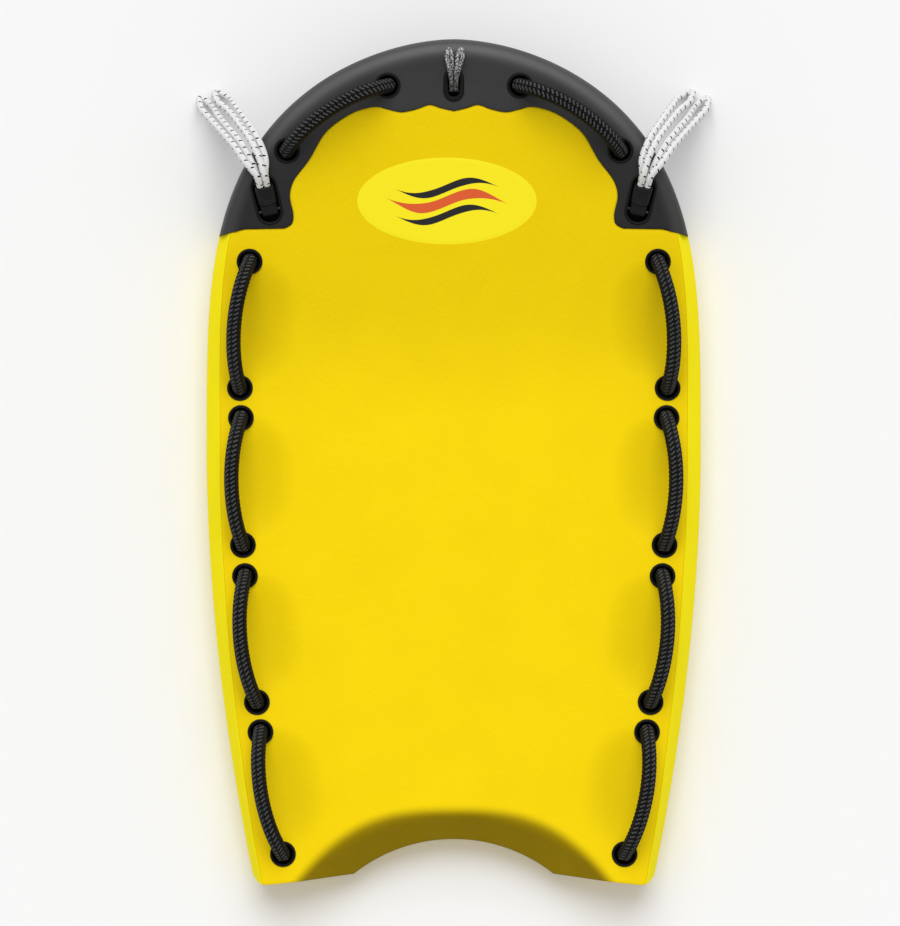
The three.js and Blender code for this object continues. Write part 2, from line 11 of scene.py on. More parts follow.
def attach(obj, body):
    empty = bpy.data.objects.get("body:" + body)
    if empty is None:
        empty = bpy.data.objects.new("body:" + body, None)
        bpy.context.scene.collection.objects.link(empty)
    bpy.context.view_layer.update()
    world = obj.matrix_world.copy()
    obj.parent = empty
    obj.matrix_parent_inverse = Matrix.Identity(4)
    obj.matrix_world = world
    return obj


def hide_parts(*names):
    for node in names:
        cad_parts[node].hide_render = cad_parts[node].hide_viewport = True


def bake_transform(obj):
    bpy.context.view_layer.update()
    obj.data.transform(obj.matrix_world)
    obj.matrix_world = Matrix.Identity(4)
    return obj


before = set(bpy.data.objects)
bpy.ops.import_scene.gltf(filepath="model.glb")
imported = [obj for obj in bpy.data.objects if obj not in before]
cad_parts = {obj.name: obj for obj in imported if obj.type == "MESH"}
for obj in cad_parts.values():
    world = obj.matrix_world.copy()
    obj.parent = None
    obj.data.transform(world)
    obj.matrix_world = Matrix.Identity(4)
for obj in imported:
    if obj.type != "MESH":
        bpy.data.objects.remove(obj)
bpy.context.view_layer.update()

# ---------------------------------------------------------------- dimensions, in metres

MM = 0.001

# Plan shape of the hull.
HALF_LENGTH = 0.8
HALF_WIDTH = 0.47
WIDEST_Y = 0.025
TAIL_TAPER = 0.0865
TAIL_POWER = 1.88
NOSE_POWER_X = 1.8
NOSE_POWER_Y = 3.625

# Side shape.
THICKNESS = 0.11
KICK_Y = 0.12
KICK_BEND = 0.21
KICK_SLOPE = math.tan(math.radians(7))
ROCKER_Y = 0.15
ROCKER_LIFT = 0.1
ROCKER_POWER = 1.8
PROUD = 0.003
SKIN = 0.012
FOAM_BASE = 0.0033

# Tail.
TAIL_CORNER_X = 0.352
TAIL_FILLET = 0.022
ARCH = {"radius": 0.304, "y": -1.02, "corner_x": 0.19}
RAMP = {"y": -1.072, "foot": 0.35, "top": 0.412, "drop": 0.048, "round": 0.014}

# Rope handles, as the centres of the two cups of each left one. The right ones mirror them.
ROPE_RADIUS = 0.0145
GRIP_RISE = 0.05
GRIP_BOW = 0.018
HINGE_RISE = 0.003
ROPE_RUN_RISE = 0.022
ROPE_RUN_BEND = 0.026
HANDLES = {
    "nose": ((-0.1246, 0.7109), (-0.3142, 0.5896)),
    "front": ((-0.3862, 0.381), (-0.4052, 0.1422)),
    "mid": ((-0.4033, 0.0853), (-0.3995, -0.1554)),
    "aft": ((-0.3957, -0.2142), (-0.373, -0.4531)),
    "tail": ((-0.3663, -0.5099), (-0.3237, -0.7412)),
}
SIDES = {"left": -1, "right": 1}

# Tow points.
SHOULDER = {
    "x": 0.348, "y": 0.476, "yaw": math.radians(13), "opening": (0.04, 0.088), "rim": 0.0055, "pin": 0.021,
}
BOW = {"x": 0.0, "y": 0.7, "yaw": 0.0, "opening": (0.02, 0.044), "rim": 0.0095, "pin": 0.01}
PIN_DROP = 0.012
EYELET_WALL = 0.004
SLEEVE_PITCH = math.radians(28)

# Tow lines, as the spine of each bight: x, y, z, half the gap between its legs and their roll in degrees.
TOW_LINE_RADIUS = 0.006
TOW_BIGHTS = {
    "outer": (
        (-0.3659, 0.5252, 0.159, 0.0066, 90),
        (-0.3705, 0.5415, 0.1725, 0.0066, 80),
        (-0.386, 0.566, 0.173, 0.0066, 40),
        (-0.406, 0.598, 0.152, 0.0068, 15),
        (-0.433, 0.631, 0.106, 0.007, 0),
        (-0.456, 0.658, 0.06, 0.008, 10),
        (-0.472, 0.68, 0.029, 0.012, 35),
        (-0.485, 0.699, 0.007),
    ),
    "inner": (
        (-0.353, 0.5282, 0.159, 0.0066, 90),
        (-0.3565, 0.545, 0.174, 0.0066, 80),
        (-0.36, 0.572, 0.175, 0.0066, 40),
        (-0.375, 0.608, 0.16, 0.0068, 15),
        (-0.399, 0.644, 0.112, 0.007, 0),
        (-0.423, 0.676, 0.062, 0.008, 10),
        (-0.44, 0.694, 0.031, 0.012, 35),
        (-0.456, 0.711, 0.007),
    ),
}
BOW_LINE_RADIUS = 0.00375
BOW_BIGHTS = {
    "left": (
        (-0.0042, 0.7065, 0.166, 0.0042, 90),
        (-0.0046, 0.721, 0.182, 0.0042, 90),
        (-0.0056, 0.737, 0.19, 0.0042, 60),
        (-0.0072, 0.753, 0.1895, 0.0042, 30),
        (-0.0084, 0.7665, 0.1883, 0.0046, 12),
        (-0.0093, 0.7795, 0.1865),
    ),
    "right": (
        (0.0042, 0.7065, 0.166, 0.0042, 90),
        (0.0046, 0.721, 0.182, 0.0042, 90),
        (0.0066, 0.737, 0.19, 0.0042, 60),
        (0.0096, 0.752, 0.1895, 0.0042, 30),
        (0.0119, 0.765, 0.1883, 0.0046, 12),
        (0.0137, 0.778, 0.1865),
    ),
}

# ---------------------------------------------------------------- camera

CAMERA_LENS = 200
VIEW_LONG_SIDE = 1.755
VIEW_CENTRE_X = -0.0071


def make_camera():
    """Straight down on the deck, with the nose at the top."""
    data = bpy.data.cameras.new("camera")
    data.lens = CAMERA_LENS
    data.sensor_width = 36
    data.clip_end = 50
    camera = bpy.data.objects.new("camera", data)
    distance = VIEW_LONG_SIDE * CAMERA_LENS / data.sensor_width
    camera.location = (VIEW_CENTRE_X, 0, THICKNESS + distance)
    bpy.context.collection.objects.link(camera)
    bpy.context.scene.camera = camera


make_camera()

# ---------------------------------------------------------------- curves


def smooth_curve(points, per_span):
    """A centripetal Catmull-Rom curve through the points."""
    p = np.array(points, float)
    p = np.vstack([2 * p[0] - p[1], p, 2 * p[-1] - p[-2]])
    made = []
    for i in range(1, len(p) - 2):
        knots = np.sqrt(np.linalg.norm(np.diff(p[i - 1 : i + 3], axis=0), axis=1))
        before, here, after = np.maximum(knots, 1e-6)
        pace = (p[i + 1] - p[i]) / here
        start = (p[i] - p[i - 1]) / before - (p[i + 1] - p[i - 1]) / (before + here) + pace
        end = pace - (p[i + 2] - p[i]) / (here + after) + (p[i + 2] - p[i + 1]) / after
        t = (np.arange(per_span) / per_span)[:, None]
        made.append(
            (2 * t**3 - 3 * t**2 + 1) * p[i]
            + (t**3 - 2 * t**2 + t) * start * here
            + (3 * t**2 - 2 * t**3) * p[i + 1]
            + (t**3 - t**2) * end * here
        )
    return np.vstack([*made, p[-2:-1]])


def even_steps(points, spacing):
    """The same line cut into equal steps of about that length."""
    lengths = np.linalg.norm(np.diff(points, axis=0), axis=1)
    reach = np.concatenate([[0], np.cumsum(lengths)])
    wanted = np.linspace(0, reach[-1], max(2, round(reach[-1] / spacing) + 1))
    return np.column_stack([np.interp(wanted, reach, points[:, k]) for k in range(points.shape[1])])


def line_length(points):
    return float(np.linalg.norm(np.diff(points, axis=0), axis=1).sum())


def unit(vectors):
    return vectors / np.linalg.norm(vectors, axis=-1, keepdims=True)


def frames_along(path, first_normal):
    """Tangent, normal and binormal at each point, turned as little as possible from one to the next."""
    tangents = unit(np.gradient(path, axis=0))
    normals = np.empty_like(tangents)
    normal = np.array(first_normal, float)
    for i, tangent in enumerate(tangents):
        normal = unit(normal - tangent * normal.dot(tangent))
        normals[i] = normal
    return tangents, normals, np.cross(tangents, normals)


# ---------------------------------------------------------------- meshes


def add_mesh(name, vertices, faces, material, uvs=None, smooth=True):
    """A mesh object. uvs holds one pair per vertex, or one per corner of a face."""
    mesh = bpy.data.meshes.new(name)
    mesh.from_pydata([tuple(v) for v in vertices], [], [tuple(f) for f in faces])
    if uvs is not None:
        layer = mesh.uv_layers.new(name="UVMap")
        pairs = np.asarray(uvs, np.float32)
        if len(pairs) == len(vertices):
            corners = np.empty(len(mesh.loops), np.int32)
            mesh.loops.foreach_get("vertex_index", corners)
            pairs = pairs[corners]
        layer.data.foreach_set("uv", pairs.ravel())
    mesh.polygons.foreach_set("use_smooth", [smooth] * len(mesh.polygons))
    mesh.materials.append(material)
    mesh.update()
    made = bpy.data.objects.new(name, mesh)
    bpy.context.collection.objects.link(made)
    return made


def grid_faces(rows, columns, closed=True):
    """Quads between the rows of a grid of vertices. closed joins the last column to the first."""
    last = columns if closed else columns - 1
    i, j = np.meshgrid(np.arange(rows - 1), np.arange(last), indexing="ij")
    a = i * columns + j
    b = i * columns + (j + 1) % columns
    return np.stack([a, b, b + columns, a + columns], -1).reshape(-1, 4)


def capped_faces(rows, columns, flipped=False):
    """The quads of a closed grid and a flat cap at each end. flipped turns them all over."""
    last = (rows - 1) * columns
    faces = [tuple(f) for f in grid_faces(rows, columns)]
    faces.append(tuple(range(columns - 1, -1, -1)))
    faces.append(tuple(last + k for k in range(columns)))
    return [f[::-1] for f in faces] if flipped else faces


def wrapped_uvs(distance, around):
    """A pair for each corner of a closed grid's quads: the share of a turn, and the distance."""
    i, j = np.meshgrid(np.arange(len(distance) - 1), np.arange(around), indexing="ij")
    turn = np.stack([j, j + 1, j + 1, j], -1) / around
    along = distance[np.stack([i, i, i + 1, i + 1], -1)]
    return np.stack([turn, along], -1).reshape(-1, 2)


def paint(made, name, values):
    """A number at each vertex, for the material to read."""
    layer = made.data.attributes.new(name, "FLOAT", "POINT")
    layer.data.foreach_set("value", np.asarray(values, np.float32))


def finish_piece(made, body, slot, *nodes):
    """Names what a piece moves with and stands for. slot is not used."""
    if nodes:
        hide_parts(*nodes)
    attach(made, body)


def tube(name, path, radius, around, material, first_normal=(0, 0, 1), relief=None):
    """A capped tube along a path. relief gives the height above the radius at (share of a turn, distance).

    The UV map holds the share of a turn and the distance along, in metres.
    """
    _, normals, binormals = frames_along(path, first_normal)
    steps = np.linalg.norm(np.diff(path, axis=0), axis=1)
    distance = np.concatenate([[0], np.cumsum(steps)])
    turn = np.arange(around) / around
    angle = 2 * math.pi * turn
    reach = np.full((len(path), around), float(radius))
    if relief is not None:
        reach = reach + relief(turn[None, :], distance[:, None])
    sideways = normals[:, None] * np.cos(angle)[None, :, None]
    upwards = binormals[:, None] * np.sin(angle)[None, :, None]
    ring = path[:, None] + (sideways + upwards) * reach[..., None]
    uvs = np.vstack([wrapped_uvs(distance, around), np.zeros((2 * around, 2))])
    return add_mesh(name, ring.reshape(-1, 3), capped_faces(len(path), around), material, uvs)


def solid_through(name, grid, material, flipped=False):
    """A closed body through the rows of a grid of points, with a flat cap at each end."""
    rows, columns, _ = grid.shape
    return add_mesh(name, grid.reshape(-1, 3), capped_faces(rows, columns, flipped), material)


def lathe(name, profile, around, material, closed=False):
    """A turned piece about its own Z, from (radius, height) pairs that go up on the outside."""
    outline = np.array(profile, float)
    if closed:
        outline = np.vstack([outline, outline[:1]])
    angle = 2 * math.pi * np.arange(around) / around
    x = outline[:, 0][:, None] * np.cos(angle)
    y = outline[:, 0][:, None] * np.sin(angle)
    z = np.broadcast_to(outline[:, 1][:, None], x.shape)
    steps = np.concatenate([[0], np.cumsum(np.linalg.norm(np.diff(outline, axis=0), axis=1))])
    vertices = np.stack([x, y, z], -1).reshape(-1, 3)
    return add_mesh(name, vertices, grid_faces(len(outline), around), material, wrapped_uvs(steps, around))


# ---------------------------------------------------------------- hull surfaces


def half_width(y):
    y = np.asarray(y, float)
    behind = HALF_WIDTH - TAIL_TAPER * (np.maximum(WIDEST_Y - y, 0) / HALF_LENGTH) ** TAIL_POWER
    along = np.clip((y - WIDEST_Y) / (HALF_LENGTH - WIDEST_Y), 0, 1)
    ahead = HALF_WIDTH * (1 - along**NOSE_POWER_Y) ** (1 / NOSE_POWER_X)
    return np.where(y <= WIDEST_Y, behind, ahead)


def deck_height(y):
    """The deck without its hollows and ramp."""
    run = np.maximum(0, np.asarray(y, float) - KICK_Y)
    rise = np.where(run < KICK_BEND, run * run / (2 * KICK_BEND), run - KICK_BEND / 2)
    return THICKNESS + KICK_SLOPE * rise


def deck_slope(y):
    return math.atan(KICK_SLOPE * min(1, max(0, (y - KICK_Y) / KICK_BEND)))


def keel_height(y):
    run = np.maximum(0, np.asarray(y, float) - ROCKER_Y) / (HALF_LENGTH - ROCKER_Y)
    return ROCKER_LIFT * run**ROCKER_POWER


def rail_width(y):
    y = np.asarray(y, float)
    behind = 0.027 - 0.012 * (np.maximum(-y, 0) / HALF_LENGTH) ** TAIL_POWER
    ahead = np.maximum(0.021, 0.027 - 0.005 * (y / 0.4) ** 2)
    return np.where(y > 0, ahead, behind)


def ramp_depth(x, y):
    """How far the tail ramp lies under the deck."""
    radius = np.hypot(x, y - RAMP["y"])
    steepness = RAMP["drop"] / (RAMP["top"] - RAMP["foot"] - RAMP["round"] / 2)
    under = RAMP["top"] - radius
    eased = steepness * np.clip(under, 0, None) ** 2 / (2 * RAMP["round"])
    straight = steepness * (under - RAMP["round"] / 2)
    return np.where(under < RAMP["round"], eased, straight)


def seat(x, y, rise=0.0, yaw=0.0):
    """A matrix that stands square on the deck."""
    place = Matrix.Translation((x, y, float(deck_height(y)) + rise))
    return place @ Matrix.Rotation(deck_slope(y), 4, "X") @ Matrix.Rotation(yaw, 4, "Z")


def cup_seats(side, place):
    rise = PROUD if place == "nose" else 0
    return [seat(-side * x, y, rise) for x, y in HANDLES[place]]


def each_handle():
    return [(name, side, place) for name, side in SIDES.items() for place in HANDLES]


# The finger hollows: a shallow dish that reaches inboard from under each deck handle.
HOLLOW_DEPTH = 0.0095
HOLLOW_INBOARD = 0.02
HOLLOW_HALF_WIDTH = 0.082
HOLLOW_HALF_LENGTH = 0.122


def hollow(x, y):
    """The share of the full depth at which each point lies in a finger hollow."""
    deepest = np.zeros(np.shape(x))
    for _, side, place in each_handle():
        if place == "nose":
            continue
        fore, rear = (np.array([-side * a, b]) for a, b in HANDLES[place])
        along = unit(fore - rear)
        across = np.array([along[1], -along[0]]) * -side
        middle = (fore + rear) / 2 + across * HOLLOW_INBOARD
        u = ((x - middle[0]) * across[0] + (y - middle[1]) * across[1]) / HOLLOW_HALF_WIDTH
        v = ((x - middle[0]) * along[0] + (y - middle[1]) * along[1]) / HOLLOW_HALF_LENGTH
        u = np.where(u < 0, u * 1.5, u)
        share = np.clip(1 - (u**2 + np.abs(v) ** 2.6), 0, 1)
        deepest = np.maximum(deepest, share**1.4)
    return deepest


def deck_surface(x, y):
    return deck_height(y) - ramp_depth(x, y) - HOLLOW_DEPTH * hollow(x, y)


# ---------------------------------------------------------------- plan outlines


def mirrored(points):
    """The points of the right half, then those of the left half coming back."""
    points = np.asarray(points, float)
    left = points[np.abs(points[:, 0]) > 1e-9][::-1] * [-1, 1]
    return np.vstack([points, left])


def tail_curve():
    """The right half of the tail edge, from the side to the middle of the arch."""
    fillet_y = -HALF_LENGTH + TAIL_FILLET
    start = np.array([half_width(fillet_y), fillet_y])
    corner = np.array([half_width(-HALF_LENGTH), -HALF_LENGTH])
    end = np.array([TAIL_CORNER_X, -HALF_LENGTH])
    t = np.linspace(0, 1, 12)[:, None]
    fillet = (1 - t) ** 2 * start + 2 * t * (1 - t) * corner + t**2 * end
    angle = np.linspace(math.acos(ARCH["corner_x"] / ARCH["radius"]), math.pi / 2, 90)
    arch = np.column_stack([ARCH["radius"] * np.cos(angle), ARCH["y"] + ARCH["radius"] * np.sin(angle)])
    straight = np.linspace(end, arch[0], 50)
    return np.vstack([fillet, straight[1:-1], arch])


SCALLOPS = (
    (0, 0.6635), (0.024, 0.669), (0.045, 0.675), (0.07, 0.667), (0.098, 0.6615), (0.122, 0.666),
    (0.145, 0.6715), (0.182, 0.664), (0.215, 0.646), (0.243, 0.622), (0.273, 0.572), (0.303, 0.531),
    (0.3095, 0.505), (0.303, 0.468), (0.306, 0.452), (0.319, 0.4435),
)
HEEL = ((0.319, 0.4435), (0.394, 0.442), (0.47, 0.424))
HEEL_START = 0.3195


def heel_y(x):
    """The straight end of the bumper's rear edge, out to the side."""
    points = np.array(HEEL)
    return np.interp(x, points[:, 0], points[:, 1])


def scalloped_edge(spacing):
    """The right half of the bumper's rear edge, from the middle to the heel."""
    points = np.array(SCALLOPS)
    return even_steps(smooth_curve(points, 24), spacing)


def outline_point(angle, inset):
    """A point of the nose outline, moved inwards. The angle runs from the widest place to the nose tip."""
    across = np.cos(angle) ** (2 / NOSE_POWER_X)
    along = np.sin(angle) ** (2 / NOSE_POWER_Y)
    reach = HALF_LENGTH - WIDEST_Y
    out_x = NOSE_POWER_X * across ** (NOSE_POWER_X - 1) / HALF_WIDTH
    out_y = NOSE_POWER_Y * along ** (NOSE_POWER_Y - 1) / reach
    size = np.hypot(out_x, out_y)
    x = HALF_WIDTH * across - inset * out_x / size
    return np.stack([np.maximum(x, 0), WIDEST_Y + reach * along - inset * out_y / size], -1)


def angle_at(test):
    """The nose outline's angle where test turns positive."""
    low, high = 1e-4, math.pi / 2 - 1e-4
    for _ in range(40):
        middle = (low + high) / 2
        if test(middle) > 0:
            high = middle
        else:
            low = middle
    return (low + high) / 2


def nose_line(inset, stations, clearance=0.0):
    """The right half of the nose outline at an inset, from the bumper's heel to the tip."""

    def past_heel(angle):
        x, y = outline_point(angle, inset)
        return y - heel_y(x) - clearance

    start = angle_at(past_heel)
    crowded = np.linspace(0, 1, 400) ** 1.8
    fine = outline_point(start + (math.pi / 2 - start) * crowded, inset)
    fine[-1, 0] = 0
    return even_steps(fine, line_length(fine) / (stations - 1))


def side_line(inset, stations):
    """The right-hand side from the tail fillet to the bumper's heel. inset(y) moves it inwards."""
    y = np.linspace(-HALF_LENGTH, 0.46, 2400)
    x = half_width(y) - inset(y)
    tail = tail_curve()[:20][::-1]
    clear = (y > np.interp(x, tail[:, 0], tail[:, 1])) & (y < heel_y(x) - 0.0003)
    points = np.column_stack([x, y])[clear]
    return even_steps(points, line_length(points) / (stations - 1))


def offset_loop(points, distance):
    """A closed outline moved to its left, which is inwards for one that runs anticlockwise."""
    ahead = np.roll(points, -1, axis=0) - np.roll(points, 1, axis=0)
    along = unit(ahead)
    return points + np.column_stack([-along[:, 1], along[:, 0]]) * distance


def circle(centre, radius, steps=48):
    angle = np.arange(steps) * 2 * math.pi / steps
    return np.column_stack([centre[0] + radius * np.cos(angle), centre[1] + radius * np.sin(angle)])


def sheet_mesh(outline, holes, lines, spacing):
    """Triangles over the plan area inside the outline and outside the holes, as (points, triangles).

    The points on each line and each closed outline are kept, and the rest is filled in evenly.
    """
    loops = [outline, *holes]
    runs = [*loops, *lines]
    points = np.vstack(runs)
    edges = []
    start = 0
    for k, run in enumerate(runs):
        count = len(run)
        ends = count if k < len(loops) else count - 1
        edges += [(start + i, start + (i + 1) % count) for i in range(ends)]
        start += count
    low, high = points.min(0), points.max(0)
    columns = np.arange(low[0], high[0], spacing)
    rows = np.arange(low[1], high[1], spacing * math.sqrt(3) / 2)
    lattice = np.vstack([
        np.column_stack([columns + spacing / 2 * (row % 2), np.full(len(columns), y)])
        for row, y in enumerate(rows)
    ])
    inside = in_polygon(lattice, outline) & (nearest_distance(lattice, points) > spacing * 0.5)
    vectors = [Vector(p) for p in np.vstack([points, lattice[inside]])]
    made, _, faces, _, _, _ = delaunay_2d_cdt(vectors, edges, [], 1, 1e-7)
    made = np.array([tuple(v) for v in made])
    faces = np.array(faces)
    kept = np.ones(len(faces), bool)
    for hole in holes:
        kept &= ~in_polygon(made[faces].mean(1), hole)
    return made, faces[kept]


def plan_tree(points):
    """A search tree over the points, in plan."""
    tree = KDTree(len(points))
    for i, p in enumerate(points):
        tree.insert((p[0], p[1], 0), i)
    tree.balance()
    return tree


def nearest_distance(points, others):
    """How far each point is from the nearest of the others."""
    tree = plan_tree(others)
    return np.array([tree.find((p[0], p[1], 0))[2] for p in points])


def in_polygon(points, polygon):
    """True for each point inside a closed outline."""
    x, y = points[:, 0], points[:, 1]
    inside = np.zeros(len(points), bool)
    previous = polygon[-1]
    for here in polygon:
        (x0, y0), (x1, y1) = previous, here
        if y0 != y1:
            crosses = (y0 > y) != (y1 > y)
            at = x0 + (y - y0) * (x1 - x0) / (y1 - y0)
            inside ^= crosses & (x < at)
        previous = here
    return inside


# ---------------------------------------------------------------- materials


class Nodes:
    """A short way to write a material's nodes."""

    def __init__(self, name, roughness=0.5, metallic=0.0, specular=0.5):
        self.material = bpy.data.materials.new(name)
        self.material.use_nodes = True
        self.tree = self.material.node_tree
        self.shader = self.tree.nodes["Principled BSDF"]
        self.shader.inputs["Roughness"].default_value = roughness
        self.shader.inputs["Metallic"].default_value = metallic
        self.shader.inputs["Specular IOR Level"].default_value = specular

    def node(self, kind, inputs=None, **settings):
        made = self.tree.nodes.new(kind)
        for key, value in settings.items():
            setattr(made, key, value)
        for key, value in (inputs or {}).items():
            socket = made.inputs[key]
            if isinstance(value, bpy.types.NodeSocket):
                self.tree.links.new(value, socket)
            else:
                socket.default_value = value
        return made

    def maths(self, operation, *values, clamp=False):
        made = self.node("ShaderNodeMath", dict(enumerate(values)), operation=operation)
        made.use_clamp = clamp
        return made.outputs[0]

    def times(self, one, other, clamp=False):
        return self.maths("MULTIPLY", one, other, clamp=clamp)

    def plus(self, one, other, clamp=False):
        return self.maths("ADD", one, other, clamp=clamp)

    def minus(self, one, other, clamp=False):
        return self.maths("SUBTRACT", one, other, clamp=clamp)

    def noise(self, vector, scale, detail=3.0, roughness=0.5):
        inputs = {"Vector": vector, "Scale": scale, "Detail": detail, "Roughness": roughness}
        return self.node("ShaderNodeTexNoise", inputs).outputs["Fac"]

    def between(self, value, from_low, from_high, to_low=0.0, to_high=1.0, smooth=True):
        inputs = {"Value": value, 1: from_low, 2: from_high, 3: to_low, 4: to_high}
        kind = "SMOOTHSTEP" if smooth else "LINEAR"
        return self.node("ShaderNodeMapRange", inputs, interpolation_type=kind).outputs[0]

    def mix(self, factor, one, other):
        made = self.node("ShaderNodeMix", data_type="RGBA")
        for key, value in ((0, factor), (6, one), (7, other)):
            if isinstance(value, bpy.types.NodeSocket):
                self.tree.links.new(value, made.inputs[key])
            else:
                made.inputs[key].default_value = value
        return made.outputs[2]

    def position(self):
        return self.node("ShaderNodeTexCoord").outputs["Object"]

    def uv(self):
        split = self.node("ShaderNodeSeparateXYZ", {0: self.node("ShaderNodeTexCoord").outputs["UV"]})
        return split.outputs[0], split.outputs[1]

    def attribute(self, name):
        return self.node("ShaderNodeAttribute", attribute_name=name).outputs["Fac"]

    def bump(self, *layers):
        """Height maps in metres, laid over each other."""
        normal = None
        for height, distance in layers:
            inputs = {"Height": height, "Distance": distance, "Strength": 1.0}
            if normal is not None:
                inputs["Normal"] = normal
            normal = self.node("ShaderNodeBump", inputs).outputs[0]
        self.link("Normal", normal)

    def link(self, socket, output):
        self.tree.links.new(output, self.shader.inputs[socket])


def colour(red, green, blue):
    """A colour given as it looks on screen, from 0 to 255."""

    def linear(value):
        value /= 255
        return value / 12.92 if value <= 0.04045 else ((value + 0.055) / 1.055) ** 2.4

    return (linear(red), linear(green), linear(blue), 1.0)


def foam_material(name, base, deep, shade_name=None, grain=0.00012):
    """Closed-cell foam: fine cells, a soft mottle and small dents."""
    n = Nodes(name, specular=0.06)
    place = n.position()
    mottle = n.noise(place, 9, 4)
    cells = n.noise(place, 900, 2)
    speckle = n.between(cells, 0.35, 0.7)
    shade = n.between(mottle, 0.3, 0.75, 0.0, 0.035)
    total = n.plus(shade, n.times(speckle, 0.07))
    # The shade attribute adds painted shade, mixing towards the deep colour.
    if shade_name:
        total = n.plus(total, n.attribute(shade_name))
    n.link("Base Color", n.mix(n.times(total, 1.0, clamp=True), base, deep))
    n.link("Roughness", n.between(n.noise(place, 40, 3), 0.3, 0.7, 0.55, 0.72))
    dents = n.noise(place, 120, 3, 0.55)
    n.bump((dents, 0.0005), (cells, grain))
    return n.material


def core_material():
    """Laminated foam sheets: thin glue lines between layers of slightly different yellow."""
    n = Nodes("core_foam", specular=0.3)
    place = n.position()
    height = n.node("ShaderNodeSeparateXYZ", {0: place}).outputs[2]
    wavy = n.plus(height, n.times(n.noise(place, 6, 2), 0.0012))
    layer = n.maths("MODULO", wavy, 0.0254)
    glue = n.between(n.maths("ABSOLUTE", n.minus(layer, 0.0127)), 0.0002, 0.0009, 1.0, 0.0)
    cells = n.noise(place, 700, 3)
    tone = n.between(cells, 0.3, 0.7, 0.0, 0.35)
    face = n.mix(tone, colour(243, 212, 66), colour(222, 184, 40))
    n.link("Base Color", n.mix(n.times(glue, 0.6), face, colour(168, 132, 26)))
    n.link("Roughness", n.between(cells, 0.3, 0.7, 0.7, 0.86))
    n.bump((n.times(glue, -1.0), 0.0006), (cells, 0.0003))
    return n.material


def bumper_material():
    """Moulded foam with a tough skin: fine leathery grain and faint flow marks, with a painted highlight
    along the outer rounding and painted shade on the shoulders.
    """
    n = Nodes("bumper_foam", specular=0.3)
    place = n.position()
    flow = n.noise(place, 7, 4, 0.6)
    grain = n.noise(place, 520, 3, 0.6)
    pores = n.node("ShaderNodeTexVoronoi", {"Vector": place, "Scale": 420.0}).outputs["Distance"]
    tone = n.plus(n.between(flow, 0.3, 0.7, 0.0, 0.45), n.between(grain, 0.35, 0.7, 0.0, 0.3))
    base = n.mix(tone, colour(46, 46, 46), colour(56, 56, 56))
    # A painted highlight band along the outer rounding, then painted shade on the shoulders.
    highlighted = n.mix(n.attribute("highlight_band"), base, colour(104, 104, 104))
    shaded = n.mix(n.attribute("shade"), highlighted, colour(22, 22, 22))
    scuffs = n.between(n.noise(place, 28, 6, 0.7), 0.62, 0.78, 0.0, 0.25)
    n.link("Base Color", n.mix(scuffs, shaded, colour(90, 90, 90)))
    n.link("Roughness", n.between(flow, 0.3, 0.7, 0.46, 0.6))
    n.bump((pores, 0.00012), (grain, 0.00025))
    return n.material


def slick_material():
    """Smooth sheet with long faint scratches from beaches and trailers."""
    n = Nodes("slick", specular=0.5)
    place = n.position()
    stretched = n.node("ShaderNodeMapping", {"Vector": place, "Scale": (60.0, 1.4, 60.0)}).outputs[0]
    scratches = n.between(n.noise(stretched, 6, 5, 0.75), 0.58, 0.72)
    amount = n.times(scratches, 0.4)
    n.link("Base Color", n.mix(amount, colour(38, 40, 42), colour(86, 88, 90)))
    n.link("Roughness", n.between(scratches, 0, 1, 0.3, 0.6))
    n.bump((n.noise(place, 60, 2), 0.0003), (scratches, 0.00008))
    return n.material


def moulded_material(name, base, worn, roughness, texture=0.00006):
    """Black moulding: a spark-eroded texture, worn lighter in spots."""
    n = Nodes(name, specular=0.2)
    place = n.position()
    fine = n.noise(place, 1400, 2)
    wear = n.between(n.noise(place, 60, 5, 0.65), 0.5, 0.75)
    n.link("Base Color", n.mix(n.times(wear, 0.6), base, worn))
    n.link("Roughness", n.between(wear, 0, 1, roughness, roughness + 0.14))
    n.bump((n.noise(place, 90, 2), 0.0002), (fine, texture))
    return n.material


def steel_material():
    n = Nodes("steel", metallic=1.0)
    place = n.position()
    lines = n.node("ShaderNodeMapping", {"Vector": place, "Scale": (40.0, 900.0, 900.0)}).outputs[0]
    brushed = n.noise(lines, 3, 3)
    n.link("Base Color", n.mix(brushed, colour(58, 60, 62), colour(76, 78, 80)))
    n.link("Roughness", n.between(brushed, 0.3, 0.7, 0.34, 0.5))
    n.bump((brushed, 0.00002))
    return n.material


def braid_cells(n, strands, row):
    """The two families of strands of a braid, as (number, place across), and which is on top."""
    turn, along = n.uv()
    around = n.times(turn, strands / 2)
    forward = n.maths("DIVIDE", along, row)
    families = []
    for sign in ("ADD", "SUBTRACT"):
        place = n.plus(n.maths(sign, around, forward), 4096.0)
        number = n.maths("FLOOR", place)
        across = n.minus(place, number)
        families.append((number, across))
    (first, _), (second, _) = families
    phase = n.maths("MODULO", n.plus(first, second), 4.0)
    first_on_top = n.maths("LESS_THAN", phase, 1.5)
    return families, first_on_top


def choose(n, switch, one, other):
    """one where switch is 1, other where it is 0."""
    rest = n.times(other, n.minus(1.0, switch))
    return n.plus(n.times(one, switch), rest)


def raised_floats(n, strands, number, face, deep):
    """Every second strand, which lies recessed, painted dark as shade, and the float ends too where they
    dive under, so that the others stand out as rows of separate V shapes.
    """
    place = n.maths("DIVIDE", n.plus(n.times(n.uv()[0], strands), 2.0), 4.0)
    column = n.maths("FLOOR", place)
    recessed = n.maths("MODULO", n.plus(number, column), 2.0)
    off_centre = n.maths("ABSOLUTE", n.minus(n.minus(place, column), 0.5))
    ends = n.between(off_centre, 0.27, 0.46)
    return n.mix(ends, n.mix(recessed, face, deep), deep)


